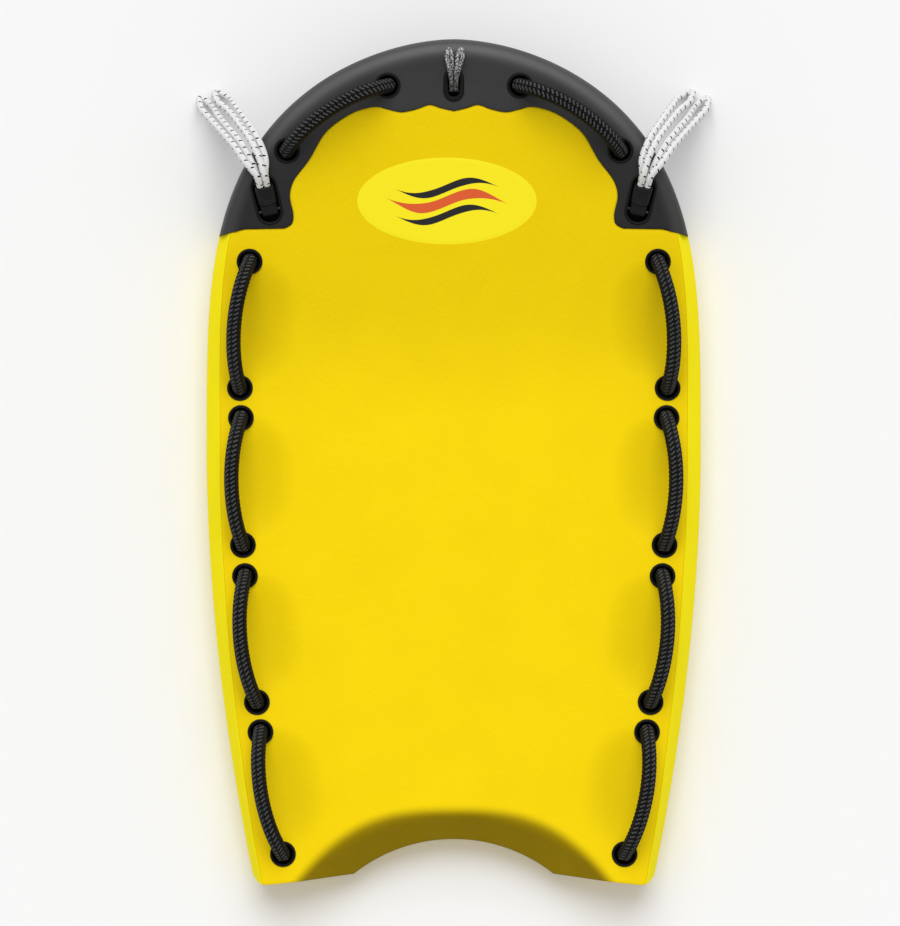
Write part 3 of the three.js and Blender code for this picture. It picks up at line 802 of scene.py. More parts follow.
def braid_material(
    name, strands, row, base, deep, dark=None, tracer=None,
    roughness=0.75, depth=0.0006, gap=1.6, lit_turn=None,
):
    """A braided cover: rounded strands and the fine yarn in them.

    tracer colours some strands, dark adds flecks and painted shade near the bow line's eyelet, and lit_turn
    is the turn left light, with painted shade on the rope's sides and underside away from it.
    """
    n = Nodes(name, specular=0.12)
    (first, second), on_top = braid_cells(n, strands, row)
    across = choose(n, on_top, first[1], second[1])
    middle = n.minus(n.times(across, 2.0), 1.0)
    crown = n.minus(1.0, n.times(middle, middle), clamp=True)
    yarn = n.maths("SINE", n.times(across, 6 * 2 * math.pi))
    fuzz = n.noise(n.position(), 1600, 2)
    # The strands are painted darker towards their edges, down to the deep colour: painted shade in the gaps
    # between them.
    crest = n.maths("POWER", crown, gap)
    tone = n.plus(n.times(crest, 0.75), n.times(fuzz, 0.3), clamp=True)
    face = n.mix(tone, deep, base)
    if lit_turn is not None:
        face = raised_floats(n, strands, choose(n, on_top, first[0], second[0]), face, deep)
        # Painted shade on the sides and underside of the rope, growing away from its uppermost turn.
        from_top = n.times(n.minus(n.uv()[0], lit_turn), 2 * math.pi)
        face = n.mix(n.between(n.maths("COSINE", from_top), 0.3, 0.8), deep, face)
    if tracer:
        marks = n.maths("LESS_THAN", n.maths("MODULO", first[0], strands / 2), 0.5)
        face = n.mix(n.times(marks, on_top), face, tracer)
    if dark:
        flecks = n.between(n.noise(n.position(), 330, 1), 0.47, 0.53)
        face = n.mix(n.times(flecks, 0.9), face, dark)
        # Painted shade on the bow line's lower ends, where they go down into the eyelet.
        forward = n.node("ShaderNodeSeparateXYZ", {0: n.position()}).outputs[1]
        face = n.mix(n.between(forward, 0.7, 0.775, 0.62, 0.0), face, dark)
    n.link("Base Color", face)
    n.link("Roughness", n.between(fuzz, 0.3, 0.7, roughness - 0.06, roughness + 0.06))
    n.shader.inputs["Sheen Weight"].default_value = 0.04
    n.shader.inputs["Sheen Roughness"].default_value = 0.4
    n.bump((crown, depth), (yarn, depth * 0.12), (fuzz, depth * 0.3))
    return n.material


HANDLE_STRANDS, HANDLE_ROW = 28, 0.00415
TOW_STRANDS, TOW_ROW = 12, 0.003
BOW_STRANDS, BOW_ROW = 12, 0.0026
# The turn of the handle ropes' weave that lies uppermost.
WEAVE_TOP = 5.5 / 7

deck_foam = foam_material("deck_foam", colour(255, 221, 7), colour(120, 97, 2), "shade")
rail_foam = foam_material("rail_foam", colour(255, 238, 12), colour(206, 176, 6), grain=0.0001)
core_foam = core_material()
bumper_foam = bumper_material()
slick = slick_material()
cup_plastic = moulded_material("cup_plastic", colour(4, 4, 5), colour(11, 12, 12), 0.55)
sleeve_rubber = moulded_material("sleeve_rubber", colour(20, 21, 22), colour(34, 35, 36), 0.36, 0.00004)
steel = steel_material()
handle_rope = braid_material(
    "handle_rope", HANDLE_STRANDS, HANDLE_ROW, colour(104, 106, 107), colour(2, 2, 2),
    roughness=0.55, depth=0.0012, gap=1.4, lit_turn=WEAVE_TOP,
)
tow_line = braid_material(
    "tow_line", TOW_STRANDS, TOW_ROW, colour(252, 252, 251), colour(206, 206, 208),
    tracer=colour(4, 4, 5), depth=0.00035,
)
bow_line = braid_material(
    "bow_line", BOW_STRANDS, BOW_ROW, colour(226, 227, 226), colour(120, 121, 121),
    dark=colour(34, 35, 36), depth=0.0004,
)

# ---------------------------------------------------------------- cords


def bight_route(spine, side):
    """The legs of a bight on either side of its spine, and the spine's end as the turn."""
    points = np.array([(-side * x, y, z) for x, y, z, *_ in spine])
    legs = [[], []]
    for i, (_, _, _, half, roll) in enumerate(spine[:-1]):
        ahead = unit(points[i + 1] - points[i])
        level = unit(np.cross((0, 0, 1), ahead))
        upright = np.cross(ahead, level)
        turn = math.radians(roll)
        offset = upright * math.sin(turn) * half - side * level * math.cos(turn) * half
        legs[0].append(points[i] + offset)
        legs[1].append(points[i] - offset)
    return np.array([*legs[0], points[-1], *legs[1][::-1]])


def braid_relief(strands, row, depth, recess=0.0):
    """The height of a braid's strands, each over two and under two, at (share of a turn, distance).

    recess is how much flatter every second strand lies.
    """

    def relief(turn, distance):
        around, forward = turn * strands / 2, distance / row
        first, second = around + forward, around - forward
        first_on_top = np.mod(np.floor(first) + np.floor(second), 4) < 1.5
        across = np.where(first_on_top, np.mod(first, 1), np.mod(second, 1))
        # Each float is humped along its length of two crossings.
        other = np.where(first_on_top, np.floor(first) + second, first + np.floor(second))
        hump = np.sin(math.pi * np.mod(other, 4) / 2).clip(0, 1)
        number = np.floor(np.where(first_on_top, first, second))
        flat = 1 - recess * np.mod(number + np.floor((turn * strands + 2) / 4), 2)
        return depth * (flat * (1 - (2 * across - 1) ** 2) * (0.55 + 0.45 * hump) - 0.5)

    return relief


# A slack braid is a little thicker than its nominal size.
LINE_PLUMPNESS = 1.05
LINE_RELIEF = 0.05  # of its radius


def make_bight(name, node, spine, side, radius, material, slot, body, row, strands):
    path = even_steps(smooth_curve(bight_route(spine, side), 24), row / 2)
    relief = braid_relief(strands, row, radius * LINE_RELIEF)
    made = tube(name, path, radius * LINE_PLUMPNESS, 48, material, relief=relief)
    finish_piece(made, body, slot, node)
    return made


for side_name, side in SIDES.items():
    for which, spine in TOW_BIGHTS.items():
        place = side_name + "_" + which
        make_bight(
            "tow_braid_" + place, "tow_bight_" + place, spine, side, TOW_LINE_RADIUS,
            tow_line, "tow_line", "tow_loop_" + side_name, TOW_ROW, TOW_STRANDS,
        )
for which, spine in BOW_BIGHTS.items():
    make_bight(
        "bow_braid_" + which, "bow_line_" + which, spine, -1, BOW_LINE_RADIUS,
        bow_line, "bow_line", "bow_line", BOW_ROW, BOW_STRANDS,
    )

# ---------------------------------------------------------------- hull


CUP_HOLE = 0.0215
RIM_ROUNDING = 0.0022
SEAM = 0.0003
DECK_SPACING = 0.0065
EDGE_SPACING = 0.0028
FLANGE_ROUNDING = 0.0026


def edge_drop(points, edge, radius, cuts):
    """How far a surface rounds down towards an edge, whose radius is cut into that many steps."""
    near = nearest_distance(points, even_steps(edge, radius / cuts))
    inside = np.clip(radius - near, 0, radius)
    return radius - np.sqrt(radius**2 - inside**2)


def with_wall(points, faces, edge, depth):
    """The surface with a wall hanging from an edge of it. edge lists the numbers of the points along it."""
    low = points[edge] - [0, 0, depth]
    start = len(points)
    walls = []
    for i in range(len(edge) - 1):
        walls.append((edge[i], start + i, start + i + 1))
        walls.append((edge[i], start + i + 1, edge[i + 1]))
    return np.vstack([points, low]), np.vstack([faces, walls])


def nearest_numbers(points, wanted):
    """The number of the point that lies at each wanted place."""
    tree = plan_tree(points)
    return [tree.find((p[0], p[1], 0))[1] for p in wanted]


def facing_up(points, faces):
    """The triangles, turned so that they face up."""
    a, b, c = (points[faces[:, k], :2] for k in range(3))
    area = (b[:, 0] - a[:, 0]) * (c[:, 1] - a[:, 1]) - (b[:, 1] - a[:, 1]) * (c[:, 0] - a[:, 0])
    turned = faces.copy()
    turned[area < 0] = faces[area < 0][:, ::-1]
    return turned


def cup_holes(places):
    """The plan outlines of the cups' holes."""
    return [
        circle((-side * x, y), CUP_HOLE)
        for _, side, place in each_handle() if place in places
        for x, y in HANDLES[place]
    ]


def deck_outline():
    inner = side_line(lambda y: rail_width(y) + SEAM, 420)
    tail = tail_curve()[::-1]
    tail = tail[tail[:, 0] < inner[0, 0] - 0.001]
    heel_x = np.arange(inner[-1, 0] - 0.003, HEEL_START, -EDGE_SPACING)
    heel = np.column_stack([heel_x, heel_y(heel_x) - SEAM])
    scallops = scalloped_edge(EDGE_SPACING)[::-1] - [0, SEAM]
    return mirrored(np.vstack([tail, inner, heel, scallops[1:]]))


def make_deck():
    """The deck skin: one foam sheet with finger hollows and a ramp at the tail, rounded along its edges."""
    outline = deck_outline()
    lines = [offset_loop(outline, step) for step in (0.0007, 0.0022)]
    lines = [np.vstack([line, line[:1]]) for line in lines]
    places = ("front", "mid", "aft", "tail")
    plan, faces = sheet_mesh(outline, cup_holes(places), lines, DECK_SPACING)
    closed = np.vstack([outline, outline[:1]])
    x, y = plan.T
    z = deck_surface(x, y) - edge_drop(plan, closed, RIM_ROUNDING, 5)
    points = np.column_stack([plan, z])
    faces = facing_up(points, faces)
    edge = nearest_numbers(points, closed)
    points, faces = with_wall(points, faces, edge[::-1], SKIN - RIM_ROUNDING)
    made = add_mesh("deck_sheet", points, faces, deck_foam)
    paint(made, "shade", deck_shade(points[:, 0], points[:, 1]))
    finish_piece(made, "board", "deck_foam", "deck_skin")


# The upper edge of the painted shade on the ramp: its height at the middle, and how far it has sagged at one
# place.
RAMP_SHADE_Y = -0.658
RAMP_SHADE_X = 0.1777
RAMP_SHADE_SAG = 0.0307
RAMP_SHADE = 0.82
NOSE_SHADE = 0.1
NOSE_SHADE_START = 0.05
NOSE_SHADE_LENGTH = 0.25
HOLLOW_SHADE = 0.18
RAMP_SHADE_POWER = 2.9
RAMP_SHADE_FADE = 0.026


def smoothed(share):
    """A share from 0 to 1 eased at both ends."""
    share = np.clip(share, 0, 1)
    return share * share * (3 - 2 * share)


def deck_shade(x, y):
    """Painted shade on the deck: in the hollows, on the ramp and a little towards the nose."""
    out = np.abs(x) / RAMP_SHADE_X
    edge = RAMP_SHADE_Y - RAMP_SHADE_SAG * out**RAMP_SHADE_POWER
    slope = RAMP_SHADE_POWER * RAMP_SHADE_SAG / RAMP_SHADE_X * out ** (RAMP_SHADE_POWER - 1)
    ramp = smoothed((edge - y) / np.sqrt(1 + slope**2) / RAMP_SHADE_FADE + 0.5)
    nose = smoothed((y - NOSE_SHADE_START) / NOSE_SHADE_LENGTH)
    others = HOLLOW_SHADE * hollow(x, y) + NOSE_SHADE * nose
    return others * (1 - ramp) + RAMP_SHADE * ramp


def lifted(plan, height):
    return np.column_stack([plan, height(plan[:, 1])])


LEVELS = {"keel": keel_height, "deck": deck_height}
RAIL_STATIONS = 360
# The rail's section: the share of its width and a length that together move it inwards, and its height.
RAIL_SECTION = (
    (1, 0, "keel", FOAM_BASE), (0, 0.02, "keel", FOAM_BASE), (0, 0.011, "keel", 0.0125),
    (0, 0.004, "keel", 0.024), (0, 0.0008, "keel", 0.034), (0, 0, "keel", 0.042),
    (0, 0, "deck", -0.0365), (0, 0.0008, "deck", -0.0337), (0, 0.0022, "deck", -0.031),
    (0.5, 0, "deck", -0.0168), (1, -0.003, "deck", -0.0034), (1, -0.0014, "deck", -0.0018),
    (1, 0, "deck", -0.0016),
)


def make_rail(side_name, side):
    """A bevelled strip of foam along the side, cut square at the tail."""
    rings = []
    for share, extra, level, offset in RAIL_SECTION:
        plan = side_line(lambda y: share * rail_width(y) + extra, RAIL_STATIONS)
        rings.append(lifted(plan, LEVELS[level]) + [0, 0, offset])
    if side < 0:
        rings = [ring * [-1, 1, 1] for ring in rings[::-1]]
    made = solid_through("rail_foam_" + side_name, np.stack(rings, 1), rail_foam)
    keep_edges(made, 35)
    finish_piece(made, "board", "rail_foam", "rail_" + side_name)


def keep_edges(made, degrees):
    """Smooth shading, but for edges sharper than the angle."""
    made.data.set_sharp_from_angle(angle=math.radians(degrees))


# The bumper's section: inset from the outline, height above the keel or the deck.
BUMPER_SECTION = (
    (0.0205, "keel", 0.0033), (0.0175, "keel", 0.0036), (0.0145, "keel", 0.008),
    (0.0085, "keel", 0.019), (0.003, "keel", 0.03), (0.0004, "keel", 0.037), (0, "keel", 0.04),
    (0, "deck", -0.031), (0.0006, "deck", -0.0255), (0.0025, "deck", -0.0175), (0.006, "deck", -0.0095),
    (0.0105, "deck", -0.0042), (0.0155, "deck", -0.0012), (0.022, "deck", 0.0014),
    (0.028, "deck", 0.0026), (0.034, "deck", 0.003),
)
BUMPER_STATIONS = 190
FLANGE_INSET = 0.034
WALL_INSET = 0.021


def eyelet_outline(spot, side, margin):
    """The plan outline of a tow point's eyelet, grown by a margin."""
    frame_at = eyelet_seat(spot, side)
    return np.array([tuple(frame_at @ Vector((x, y, 0)))[:2] for x, y in stadium(spot, margin)])


def stadium(spot, margin, corner_steps=14):
    """A round-ended slot about a tow point's pin, in its own frame."""
    width, length = (size + 2 * margin for size in spot["opening"])
    shift = spot["opening"][1] / 2 - spot["pin"]
    radius = width / 2
    angles = np.linspace(0, math.pi, corner_steps)
    reach = length / 2 - radius
    ahead = np.column_stack([radius * np.cos(angles), shift + reach + radius * np.sin(angles)])
    behind = np.column_stack([-radius * np.cos(angles), shift - reach - radius * np.sin(angles)])
    return np.vstack([ahead, behind])


def eyelet_seat(spot, side):
    return seat(side * spot["x"], spot["y"], PROUD, -side * spot["yaw"])


TOW_POINTS = (("left", -1, SHOULDER), ("right", 1, SHOULDER), ("bow", -1, BOW))


def make_bumper():
    """The nose bumper: a rounded outer wall, and a flange over the deck with a scalloped rear edge."""
    controls = []
    for inset, level, offset in BUMPER_SECTION:
        plan = nose_line(inset, BUMPER_STATIONS)
        controls.append(lifted(plan, LEVELS[level]) + [0, 0, offset])
    grid = np.stack(controls, 1)
    fine = np.stack([smooth_curve(section, 3) for section in grid])
    inner_plan = nose_line(FLANGE_INSET, BUMPER_STATIONS)
    under = lifted(inner_plan, deck_height) - [0, 0, SKIN]
    wall_plan = nose_line(WALL_INSET, BUMPER_STATIONS)
    wall_top = lifted(wall_plan, deck_height) - [0, 0, SKIN]
    wall_foot = lifted(wall_plan, keel_height) + [0, 0, FOAM_BASE]
    section = np.concatenate([fine, under[:, None], wall_top[:, None], wall_foot[:, None]], 1)
    left = section[:-1][::-1] * [-1, 1, 1]
    whole = np.concatenate([section, left])
    wall = solid_through("bumper_wall", whole, bumper_foam, flipped=True)
    paint_bumper(wall)
    keep_edges(wall, 40)
    finish_piece(wall, "board", "bumper_foam")

    rear = bumper_rear_edge()
    outline = np.vstack([mirrored(inner_plan), rear[1:-1]])
    holes = cup_holes(("nose",))
    holes += [eyelet_outline(spot, side, EYELET_WALL * 0.5) for _, side, spot in TOW_POINTS]
    lines = [rear_line(rear, step) for step in (0.0006, 0.0014, 0.0026)]
    plan, triangles = sheet_mesh(outline, holes, lines, DECK_SPACING)
    z = deck_height(plan[:, 1]) + PROUD - edge_drop(plan, rear, FLANGE_ROUNDING, 6)
    points = np.column_stack([plan, z])
    triangles = facing_up(points, triangles)
    edge = nearest_numbers(points, rear)
    points, triangles = with_wall(points, triangles, edge[::-1], PROUD + SKIN - FLANGE_ROUNDING)
    flange = add_mesh("bumper_flange", points, triangles, bumper_foam)
    paint_bumper(flange)
    keep_edges(flange, 50)
    finish_piece(flange, "board", "bumper_foam", "nose_bumper")


# The painted highlight band along the bumper's outer rounding, and the painted shade on its shoulders.
HIGHLIGHT_INSET = 0.019
HIGHLIGHT_WIDTH = 0.012
HIGHLIGHT_AMOUNT = 0.56
SHOULDER_SHADE = 0.85
SHOULDER_SHADE_START = 0.67
SHOULDER_SHADE_LENGTH = 0.16


def paint_bumper(made):
    """The painted highlight band along the outer rounding, and painted shade on the shoulders."""
    points = np.array([tuple(v.co) for v in made.data.vertices])
    edge = nose_line(0, 600)
    inset = nearest_distance(points[:, :2], np.vstack([edge, edge * [-1, 1]]))
    band = np.exp(-(((inset - HIGHLIGHT_INSET) / HIGHLIGHT_WIDTH) ** 2))
    shoulder = np.clip((SHOULDER_SHADE_START - points[:, 1]) / SHOULDER_SHADE_LENGTH, 0, 1)
    paint(made, "highlight_band", HIGHLIGHT_AMOUNT * band * (1 - 0.4 * shoulder))
    paint(made, "shade", SHOULDER_SHADE * shoulder * np.clip((inset + 0.01) / 0.05, 0, 1))


def bumper_rear_edge():
    """The bumper's whole rear edge, from the left heel to the right one."""
    start = nose_line(FLANGE_INSET, BUMPER_STATIONS)[0]
    heel_x = np.arange(start[0], HEEL_START, -EDGE_SPACING)
    heel = np.column_stack([heel_x, heel_y(heel_x)])
    right = np.vstack([start, heel[1:], scalloped_edge(EDGE_SPACING)[::-1][1:]])
    left = right * [-1, 1]
    return np.vstack([left, right[::-1][1:]])


def rear_line(rear, step):
    """The rear edge moved into the bumper, short of its ends."""
    along = unit(np.gradient(rear, axis=0))
    moved = rear + np.column_stack([-along[:, 1], along[:, 0]]) * step
    return moved[2:-2]


make_deck()
for side_name, side in SIDES.items():
    make_rail(side_name, side)
make_bumper()


def smooth_shading(node, degrees):
    """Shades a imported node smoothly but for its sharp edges."""
    tree = bpy.data.node_groups.new("smooth_" + node, "GeometryNodeTree")
    tree.interface.new_socket("Geometry", in_out="INPUT", socket_type="NodeSocketGeometry")
    tree.interface.new_socket("Geometry", in_out="OUTPUT", socket_type="NodeSocketGeometry")
    start = tree.nodes.new("NodeGroupInput")
    faces = tree.nodes.new("GeometryNodeSetShadeSmooth")
    edges = tree.nodes.new("GeometryNodeSetShadeSmooth")
    edges.domain = "EDGE"
    edges.inputs["Shade Smooth"].default_value = False
    angle = tree.nodes.new("GeometryNodeInputMeshEdgeAngle")
    sharp = tree.nodes.new("FunctionNodeCompare")
    sharp.inputs[1].default_value = math.radians(degrees)
    end = tree.nodes.new("NodeGroupOutput")
    tree.links.new(start.outputs[0], faces.inputs["Geometry"])
    tree.links.new(faces.outputs[0], edges.inputs["Geometry"])
    tree.links.new(angle.outputs[0], sharp.inputs[0])
    tree.links.new(sharp.outputs[0], edges.inputs["Selection"])
    tree.links.new(edges.outputs[0], end.inputs[0])
    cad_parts[node].modifiers.new("smooth", "NODES").node_group = tree


for node, material in (("foam_core", core_foam), ("bottom_skin", slick)):
    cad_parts[node].material_slots[0].material = material
    smooth_shading(node, 30)

# ---------------------------------------------------------------- handles

CUP_PROFILE = (
    (19.3, -45), (19.3, 0.3), (24.1, 0.3), (24.5, 0.7), (24.5, 1.5), (24.0, 2.2), (23.0, 2.6),
    (21.6, 2.6), (21.2, 2.3), (20.8, 2.3), (20.3, 2.6), (19.6, 2.2), (18.6, 0.6), (17.8, -2),
    (17.2, -6), (16.8, -11), (16.7, -45),
)


def make_cup(name, place):
    """A moulded cup: a rounded flange with a groove, a funnel for the rope and a liner through the foam."""
    profile = np.array(CUP_PROFILE) * MM
    made = lathe("cup_moulding_" + name, profile, 56, cup_plastic, closed=True)
    keep_edges(made, 40)
    made.matrix_world = place
    finish_piece(made, "board", "cup_plastic", "cup_" + name)


HANDLE_RELIEF = 0.0016
HANDLE_RECESS = 0.8


def handle_path(side, place):
    """The rope of a handle, from the middle of its hidden run, up through the fore cup, over and back."""
    seats = cup_seats(side, place)
    ends = [np.array(frame_at @ Vector((0, 0, HINGE_RISE))) for frame_at in seats]
    lows = []
    for frame_at in seats:
        x, y, z = frame_at.translation
        lows.append(np.array(frame_at @ Vector((0, 0, float(keel_height(y)) + ROPE_RUN_RISE - z))))
    chord = unit(ends[1] - ends[0])
    outboard = unit(np.cross((0, 0, side), chord))
    up = np.cross(chord, outboard) * side
    s = np.linspace(-1, 1, 17)[:, None]
    exposed = ends[0] + (ends[1] - ends[0]) * (s + 1) / 2
    exposed = exposed + up * GRIP_RISE * (1 - s**4) + outboard * GRIP_BOW * (1 - s**2)
    under = (lows[0] + lows[1]) / 2
    run = unit(lows[1] - lows[0])
    turns = []
    for end, low in enumerate(lows):
        towards = run * (-1 if end else 1)
        rising = unit(ends[end] - low)
        turns.append([
            low + towards * ROPE_RUN_BEND,
            low + (towards + rising) * ROPE_RUN_BEND * 0.26,
            low + rising * ROPE_RUN_BEND,
            ends[end] - rising * 0.016,
        ])
    points = [under, *turns[0], *exposed, *turns[1][::-1], under + run * 0.0005]
    weave = Matrix.Rotation(2 * math.pi * (0.75 - WEAVE_TOP), 3, Vector(-run))
    across = np.array(weave @ Vector(unit(np.cross(chord, up))))
    return np.array(points), across, (ends[0] + ends[1]) / 2, up


def make_handle(name, side, place):
    """One braided rope, through both cups and under the foam."""
    points, across, hinge, up = handle_path(side, place)
    fine = smooth_curve(points, 40)
    steps = np.linalg.norm(np.diff(fine, axis=0), axis=1)
    reach = np.concatenate([[0], np.cumsum(steps)])
    first, last = reach[40 * 4], reach[-1] - reach[40 * 5]
    wanted = np.concatenate([
        np.linspace(0, first, 18)[:-1],
        np.arange(first, last, 0.0013),
        np.linspace(last, reach[-1], 18),
    ])
    path = np.column_stack([np.interp(wanted, reach, fine[:, k]) for k in range(3)])
    relief = braid_relief(HANDLE_STRANDS, HANDLE_ROW, HANDLE_RELIEF, HANDLE_RECESS)
    radius = ROPE_RADIUS - HANDLE_RELIEF / 2
    made = tube(f"handle_rope_{name}_{place}", path, radius, 72, handle_rope, across, relief)
    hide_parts(f"grip_{name}_{place}", f"rope_run_{name}_{place}")
    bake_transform(made)


for name, side, place in each_handle():
    for end, frame_at in zip(("fore", "rear"), cup_seats(side, place)):
        make_cup(f"{name}_{place}_{end}", frame_at)
    make_handle(name, side, place)

# ---------------------------------------------------------------- tow points

EYELET_SECTION = (
    (-0.0025, -0.0325), (-0.0006, -0.0318), (0, -0.030), (0, -0.0012), (0.0004, 0.0012),
    (0.0014, 0.0023), (0.0028, 0.0026), ("rim", 0.0026, -0.0022), ("rim", 0.0022, -0.0008),
    ("rim", 0.0014, 0), ("rim", 0.0003, 0), (0.004, 0.0003), (0.004, -0.034),
)


def make_eyelet(name, side, spot):
    """A moulded pocket with a raised oval rim and a closed floor."""
    rings = []
    for row in EYELET_SECTION:
        margin, height = (spot["rim"] + row[2], row[1]) if row[0] == "rim" else row
        plan = stadium(spot, margin)
        rings.append(np.column_stack([plan, np.full(len(plan), height)]))
    made = solid_through("eyelet_moulding_" + name, np.stack(rings), cup_plastic, flipped=True)
    keep_edges(made, 45)
    made.matrix_world = eyelet_seat(spot, side)
    finish_piece(made, "board", "cup_plastic", "eyelet_" + name)


def make_pin(name, side, spot, radius):
    """A cross pin with chamfered ends."""
    half = spot["opening"][0] / 2 + EYELET_WALL / 2
    profile = [
        (0, -half), (radius - 0.0005, -half), (radius, -half + 0.0005),
        (radius, half - 0.0005), (radius - 0.0005, half), (0, half),
    ]
    made = lathe("cross_pin_" + name, profile, 32, steel)
    keep_edges(made, 30)
    frame_at = eyelet_seat(spot, side) @ Matrix.Translation((0, 0, -PIN_DROP))
    made.matrix_world = frame_at @ Matrix.Rotation(math.pi / 2, 4, "Y")
    finish_piece(made, "board", "steel", "eyelet_pin_" + name)


def block_section(width, height, corner, steps=7):
    """A rounded rectangle in the X-Z plane."""
    made = []
    for quarter, (sx, sz) in enumerate(((1, 1), (-1, 1), (-1, -1), (1, -1))):
        for angle in np.linspace(0, math.pi / 2, steps):
            turn = quarter * math.pi / 2 + angle
            x = sx * (width / 2 - corner) + corner * math.cos(turn)
            z = sz * (height / 2 - corner) + corner * math.sin(turn)
            made.append((x, z))
    return np.array(made)


SLEEVE_BLOCK = (0.036, 0.027)
SLEEVE_CORNER = 0.0095
# The sleeve's block: distance from the pin, and how far its section is drawn in there.
SLEEVE_STATIONS = (
    (0.015, 0.0042), (0.0154, 0.0024), (0.0166, 0.0009), (0.0185, 0.0002), (0.021, 0), (0.0262, 0),
    (0.0266, 0.0005), (0.0274, 0.0005), (0.0278, 0), (0.0440, 0), (0.0444, 0.0006), (0.0452, 0.0006),
    (0.0456, 0), (0.0512, 0), (0.0528, 0.0004), (0.0536, 0.0011), (0.054, 0.0022), (0.054, 0.0036),
    (0.0532, 0.0044), (0.0505, 0.0048),
)

# The eye's: distance across, and how far its outline is drawn in there, in millimetres.
EYE_STATIONS = (
    (-15.5, 2.6), (-15.1, 1.3), (-14.2, 0.4), (-13, 0), (13, 0), (14.2, 0.4), (15.1, 1.3), (15.5, 2.6),
)


def make_sleeve(name, side):
    """A moulded sleeve: a block that grips the two bights, and an eye that turns on the pin."""
    frame_at = eyelet_seat(SHOULDER, side) @ Matrix.Translation((0, 0, -PIN_DROP))
    turn = Matrix.Rotation(-side * SHOULDER["yaw"], 4, "Z") @ Matrix.Rotation(SLEEVE_PITCH, 4, "X")
    place = Matrix.Translation(frame_at.translation) @ turn
    rings = []
    for y, drawn in SLEEVE_STATIONS:
        width, height = (size - 2 * drawn for size in SLEEVE_BLOCK)
        plan = block_section(width, height, SLEEVE_CORNER - drawn * 0.6)
        rings.append(np.column_stack([plan[:, 0], np.full(len(plan), y), plan[:, 1]]))
    block = solid_through("sleeve_block_" + name, np.stack(rings), sleeve_rubber)
    eye_rings = []
    for x, drawn in EYE_STATIONS:
        outline = eye_outline(0.012 - drawn * MM)
        eye_rings.append(np.column_stack([np.full(len(outline), x * MM), outline]))
    eye = solid_through("sleeve_eye_" + name, np.stack(eye_rings[::-1]), sleeve_rubber)
    for made in (block, eye):
        keep_edges(made, 50)
        made.matrix_world = place
    finish_piece(block, "tow_loop_" + name, "sleeve_rubber", "tow_sleeve_" + name)
    finish_piece(eye, "tow_loop_" + name, "sleeve_rubber")


def eye_outline(radius):
    """The side view of the eye: round about the pin and straight into the block, as (y, z) pairs."""
    angles = np.linspace(math.pi * 0.42, math.pi * 1.58, 30)
    round_end = np.column_stack([radius * np.cos(angles), radius * np.sin(angles)])
    neck = radius * 0.84
    return np.vstack([[(0.018, neck)], round_end, [(0.018, -neck)]])


for name, side, spot in TOW_POINTS:
    make_eyelet(name, side, spot)
    make_pin(name, side, spot, 0.003 if spot is BOW else 0.004)
for name, side in SIDES.items():
    make_sleeve(name, side)

# ---------------------------------------------------------------- deck mark

MARK = {"x": -0.0128, "y": 0.4948, "half": (0.1695, 0.0815), "lift": 0.0004}


def mark_material():
    """A printed oval with plain wave stripes."""
    n = Nodes("deck_mark", specular=0.35)
    turn_x, turn_y = n.uv()
    place = n.position()
    wave = n.times(n.maths("SINE", n.times(turn_x, 5.2)), 0.17)
    height = n.minus(turn_y, wave)
    fade = n.maths("ABSOLUTE", turn_x)
    face = colour(255, 238, 6)
    black, red = colour(24, 24, 26), colour(226, 92, 40)
    stripes = ((0.3, 0.085, black, 0.6), (0.0, 0.115, red, 0.7), (-0.32, 0.085, black, 0.6))
    for centre, half, tint, end in stripes:
        away = n.maths("ABSOLUTE", n.minus(height, centre))
        reach = n.times(n.between(fade, end - 0.45, end, 1.0, 0.0), half)
        face = n.mix(n.maths("LESS_THAN", away, reach), face, tint)
    n.link("Base Color", face)
    n.link("Roughness", n.between(n.noise(place, 60, 3), 0.3, 0.7, 0.38, 0.5))
    n.bump((n.noise(place, 500, 2), 0.00008))
    return n.material


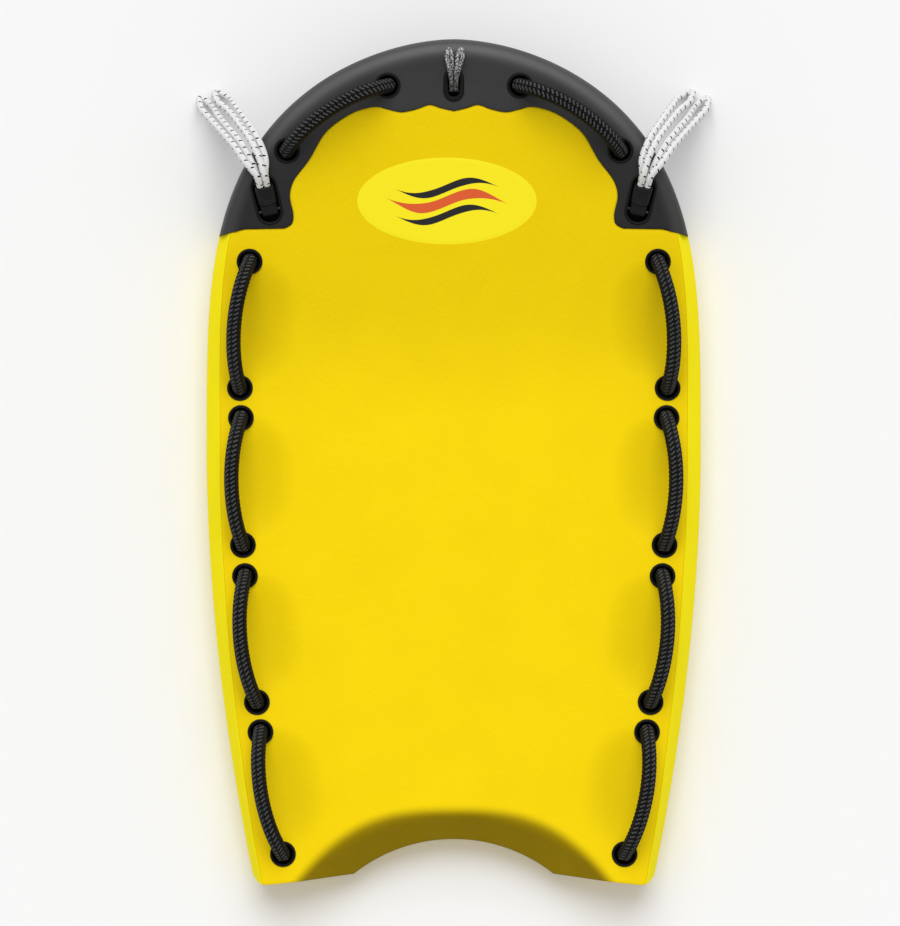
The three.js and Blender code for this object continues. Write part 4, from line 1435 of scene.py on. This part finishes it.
def make_mark():
    """The print, a thin skin that follows the deck."""
    rings = 22
    around = 96
    angle = np.arange(around) * 2 * math.pi / around
    share = np.linspace(0, 1, rings)[1:]
    across = np.concatenate([[0], np.outer(share, np.cos(angle)).ravel()])
    along = np.concatenate([[0], np.outer(share, np.sin(angle)).ravel()])
    x = MARK["x"] + across * MARK["half"][0]
    y = MARK["y"] + along * MARK["half"][1]
    edge = np.hypot(across, along) > 0.999
    z = deck_height(y) + np.where(edge, 0.0, MARK["lift"])
    faces = [(0, 1 + i, 1 + (i + 1) % around) for i in range(around)]
    quads = grid_faces(rings - 1, around) + 1
    faces += [tuple(f[::-1]) for f in quads]
    uvs = np.column_stack([across, along])
    made = add_mesh("deck_mark", np.column_stack([x, y, z]), faces, mark_material(), uvs)
    finish_piece(made, "board", "deck_foam")


make_mark()

# ---------------------------------------------------------------- floor and light

KEY_ELEVATION = math.radians(50)
KEY_SHARE = 0.45


def make_floor():
    half = 6.0
    corners = [(-half, -half, 0), (half, -half, 0), (half, half, 0), (-half, half, 0)]
    mesh = bpy.data.meshes.new("floor")
    mesh.from_pydata(corners, [], [(0, 1, 2, 3)])
    n = Nodes("floor", roughness=0.9, specular=0.1)
    n.shader.inputs["Base Color"].default_value = colour(249, 249, 249)
    mesh.materials.append(n.material)
    floor = bpy.data.objects.new("floor", mesh)
    floor.location.z = -0.0005
    bpy.context.collection.objects.link(floor)


def make_lights():
    """A wide soft key from beyond the nose, and an even sky."""
    sun = bpy.data.lights.new("key", "SUN")
    sun.energy = math.pi * KEY_SHARE / math.sin(KEY_ELEVATION)
    sun.angle = math.radians(50)
    key = bpy.data.objects.new("key", sun)
    towards = Vector((0, math.cos(KEY_ELEVATION), math.sin(KEY_ELEVATION)))
    key.rotation_mode = "QUATERNION"
    key.rotation_quaternion = towards.to_track_quat("Z", "Y")
    bpy.context.collection.objects.link(key)
    world = bpy.data.worlds.new("sky")
    world.use_nodes = True
    sky = world.node_tree.nodes["Background"]
    sky.inputs["Color"].default_value = (1, 1, 1, 1)
    sky.inputs["Strength"].default_value = 1.0 - KEY_SHARE
    bpy.context.scene.world = world


make_floor()
make_lights()
bpy.context.scene.view_settings.view_transform = "Standard"
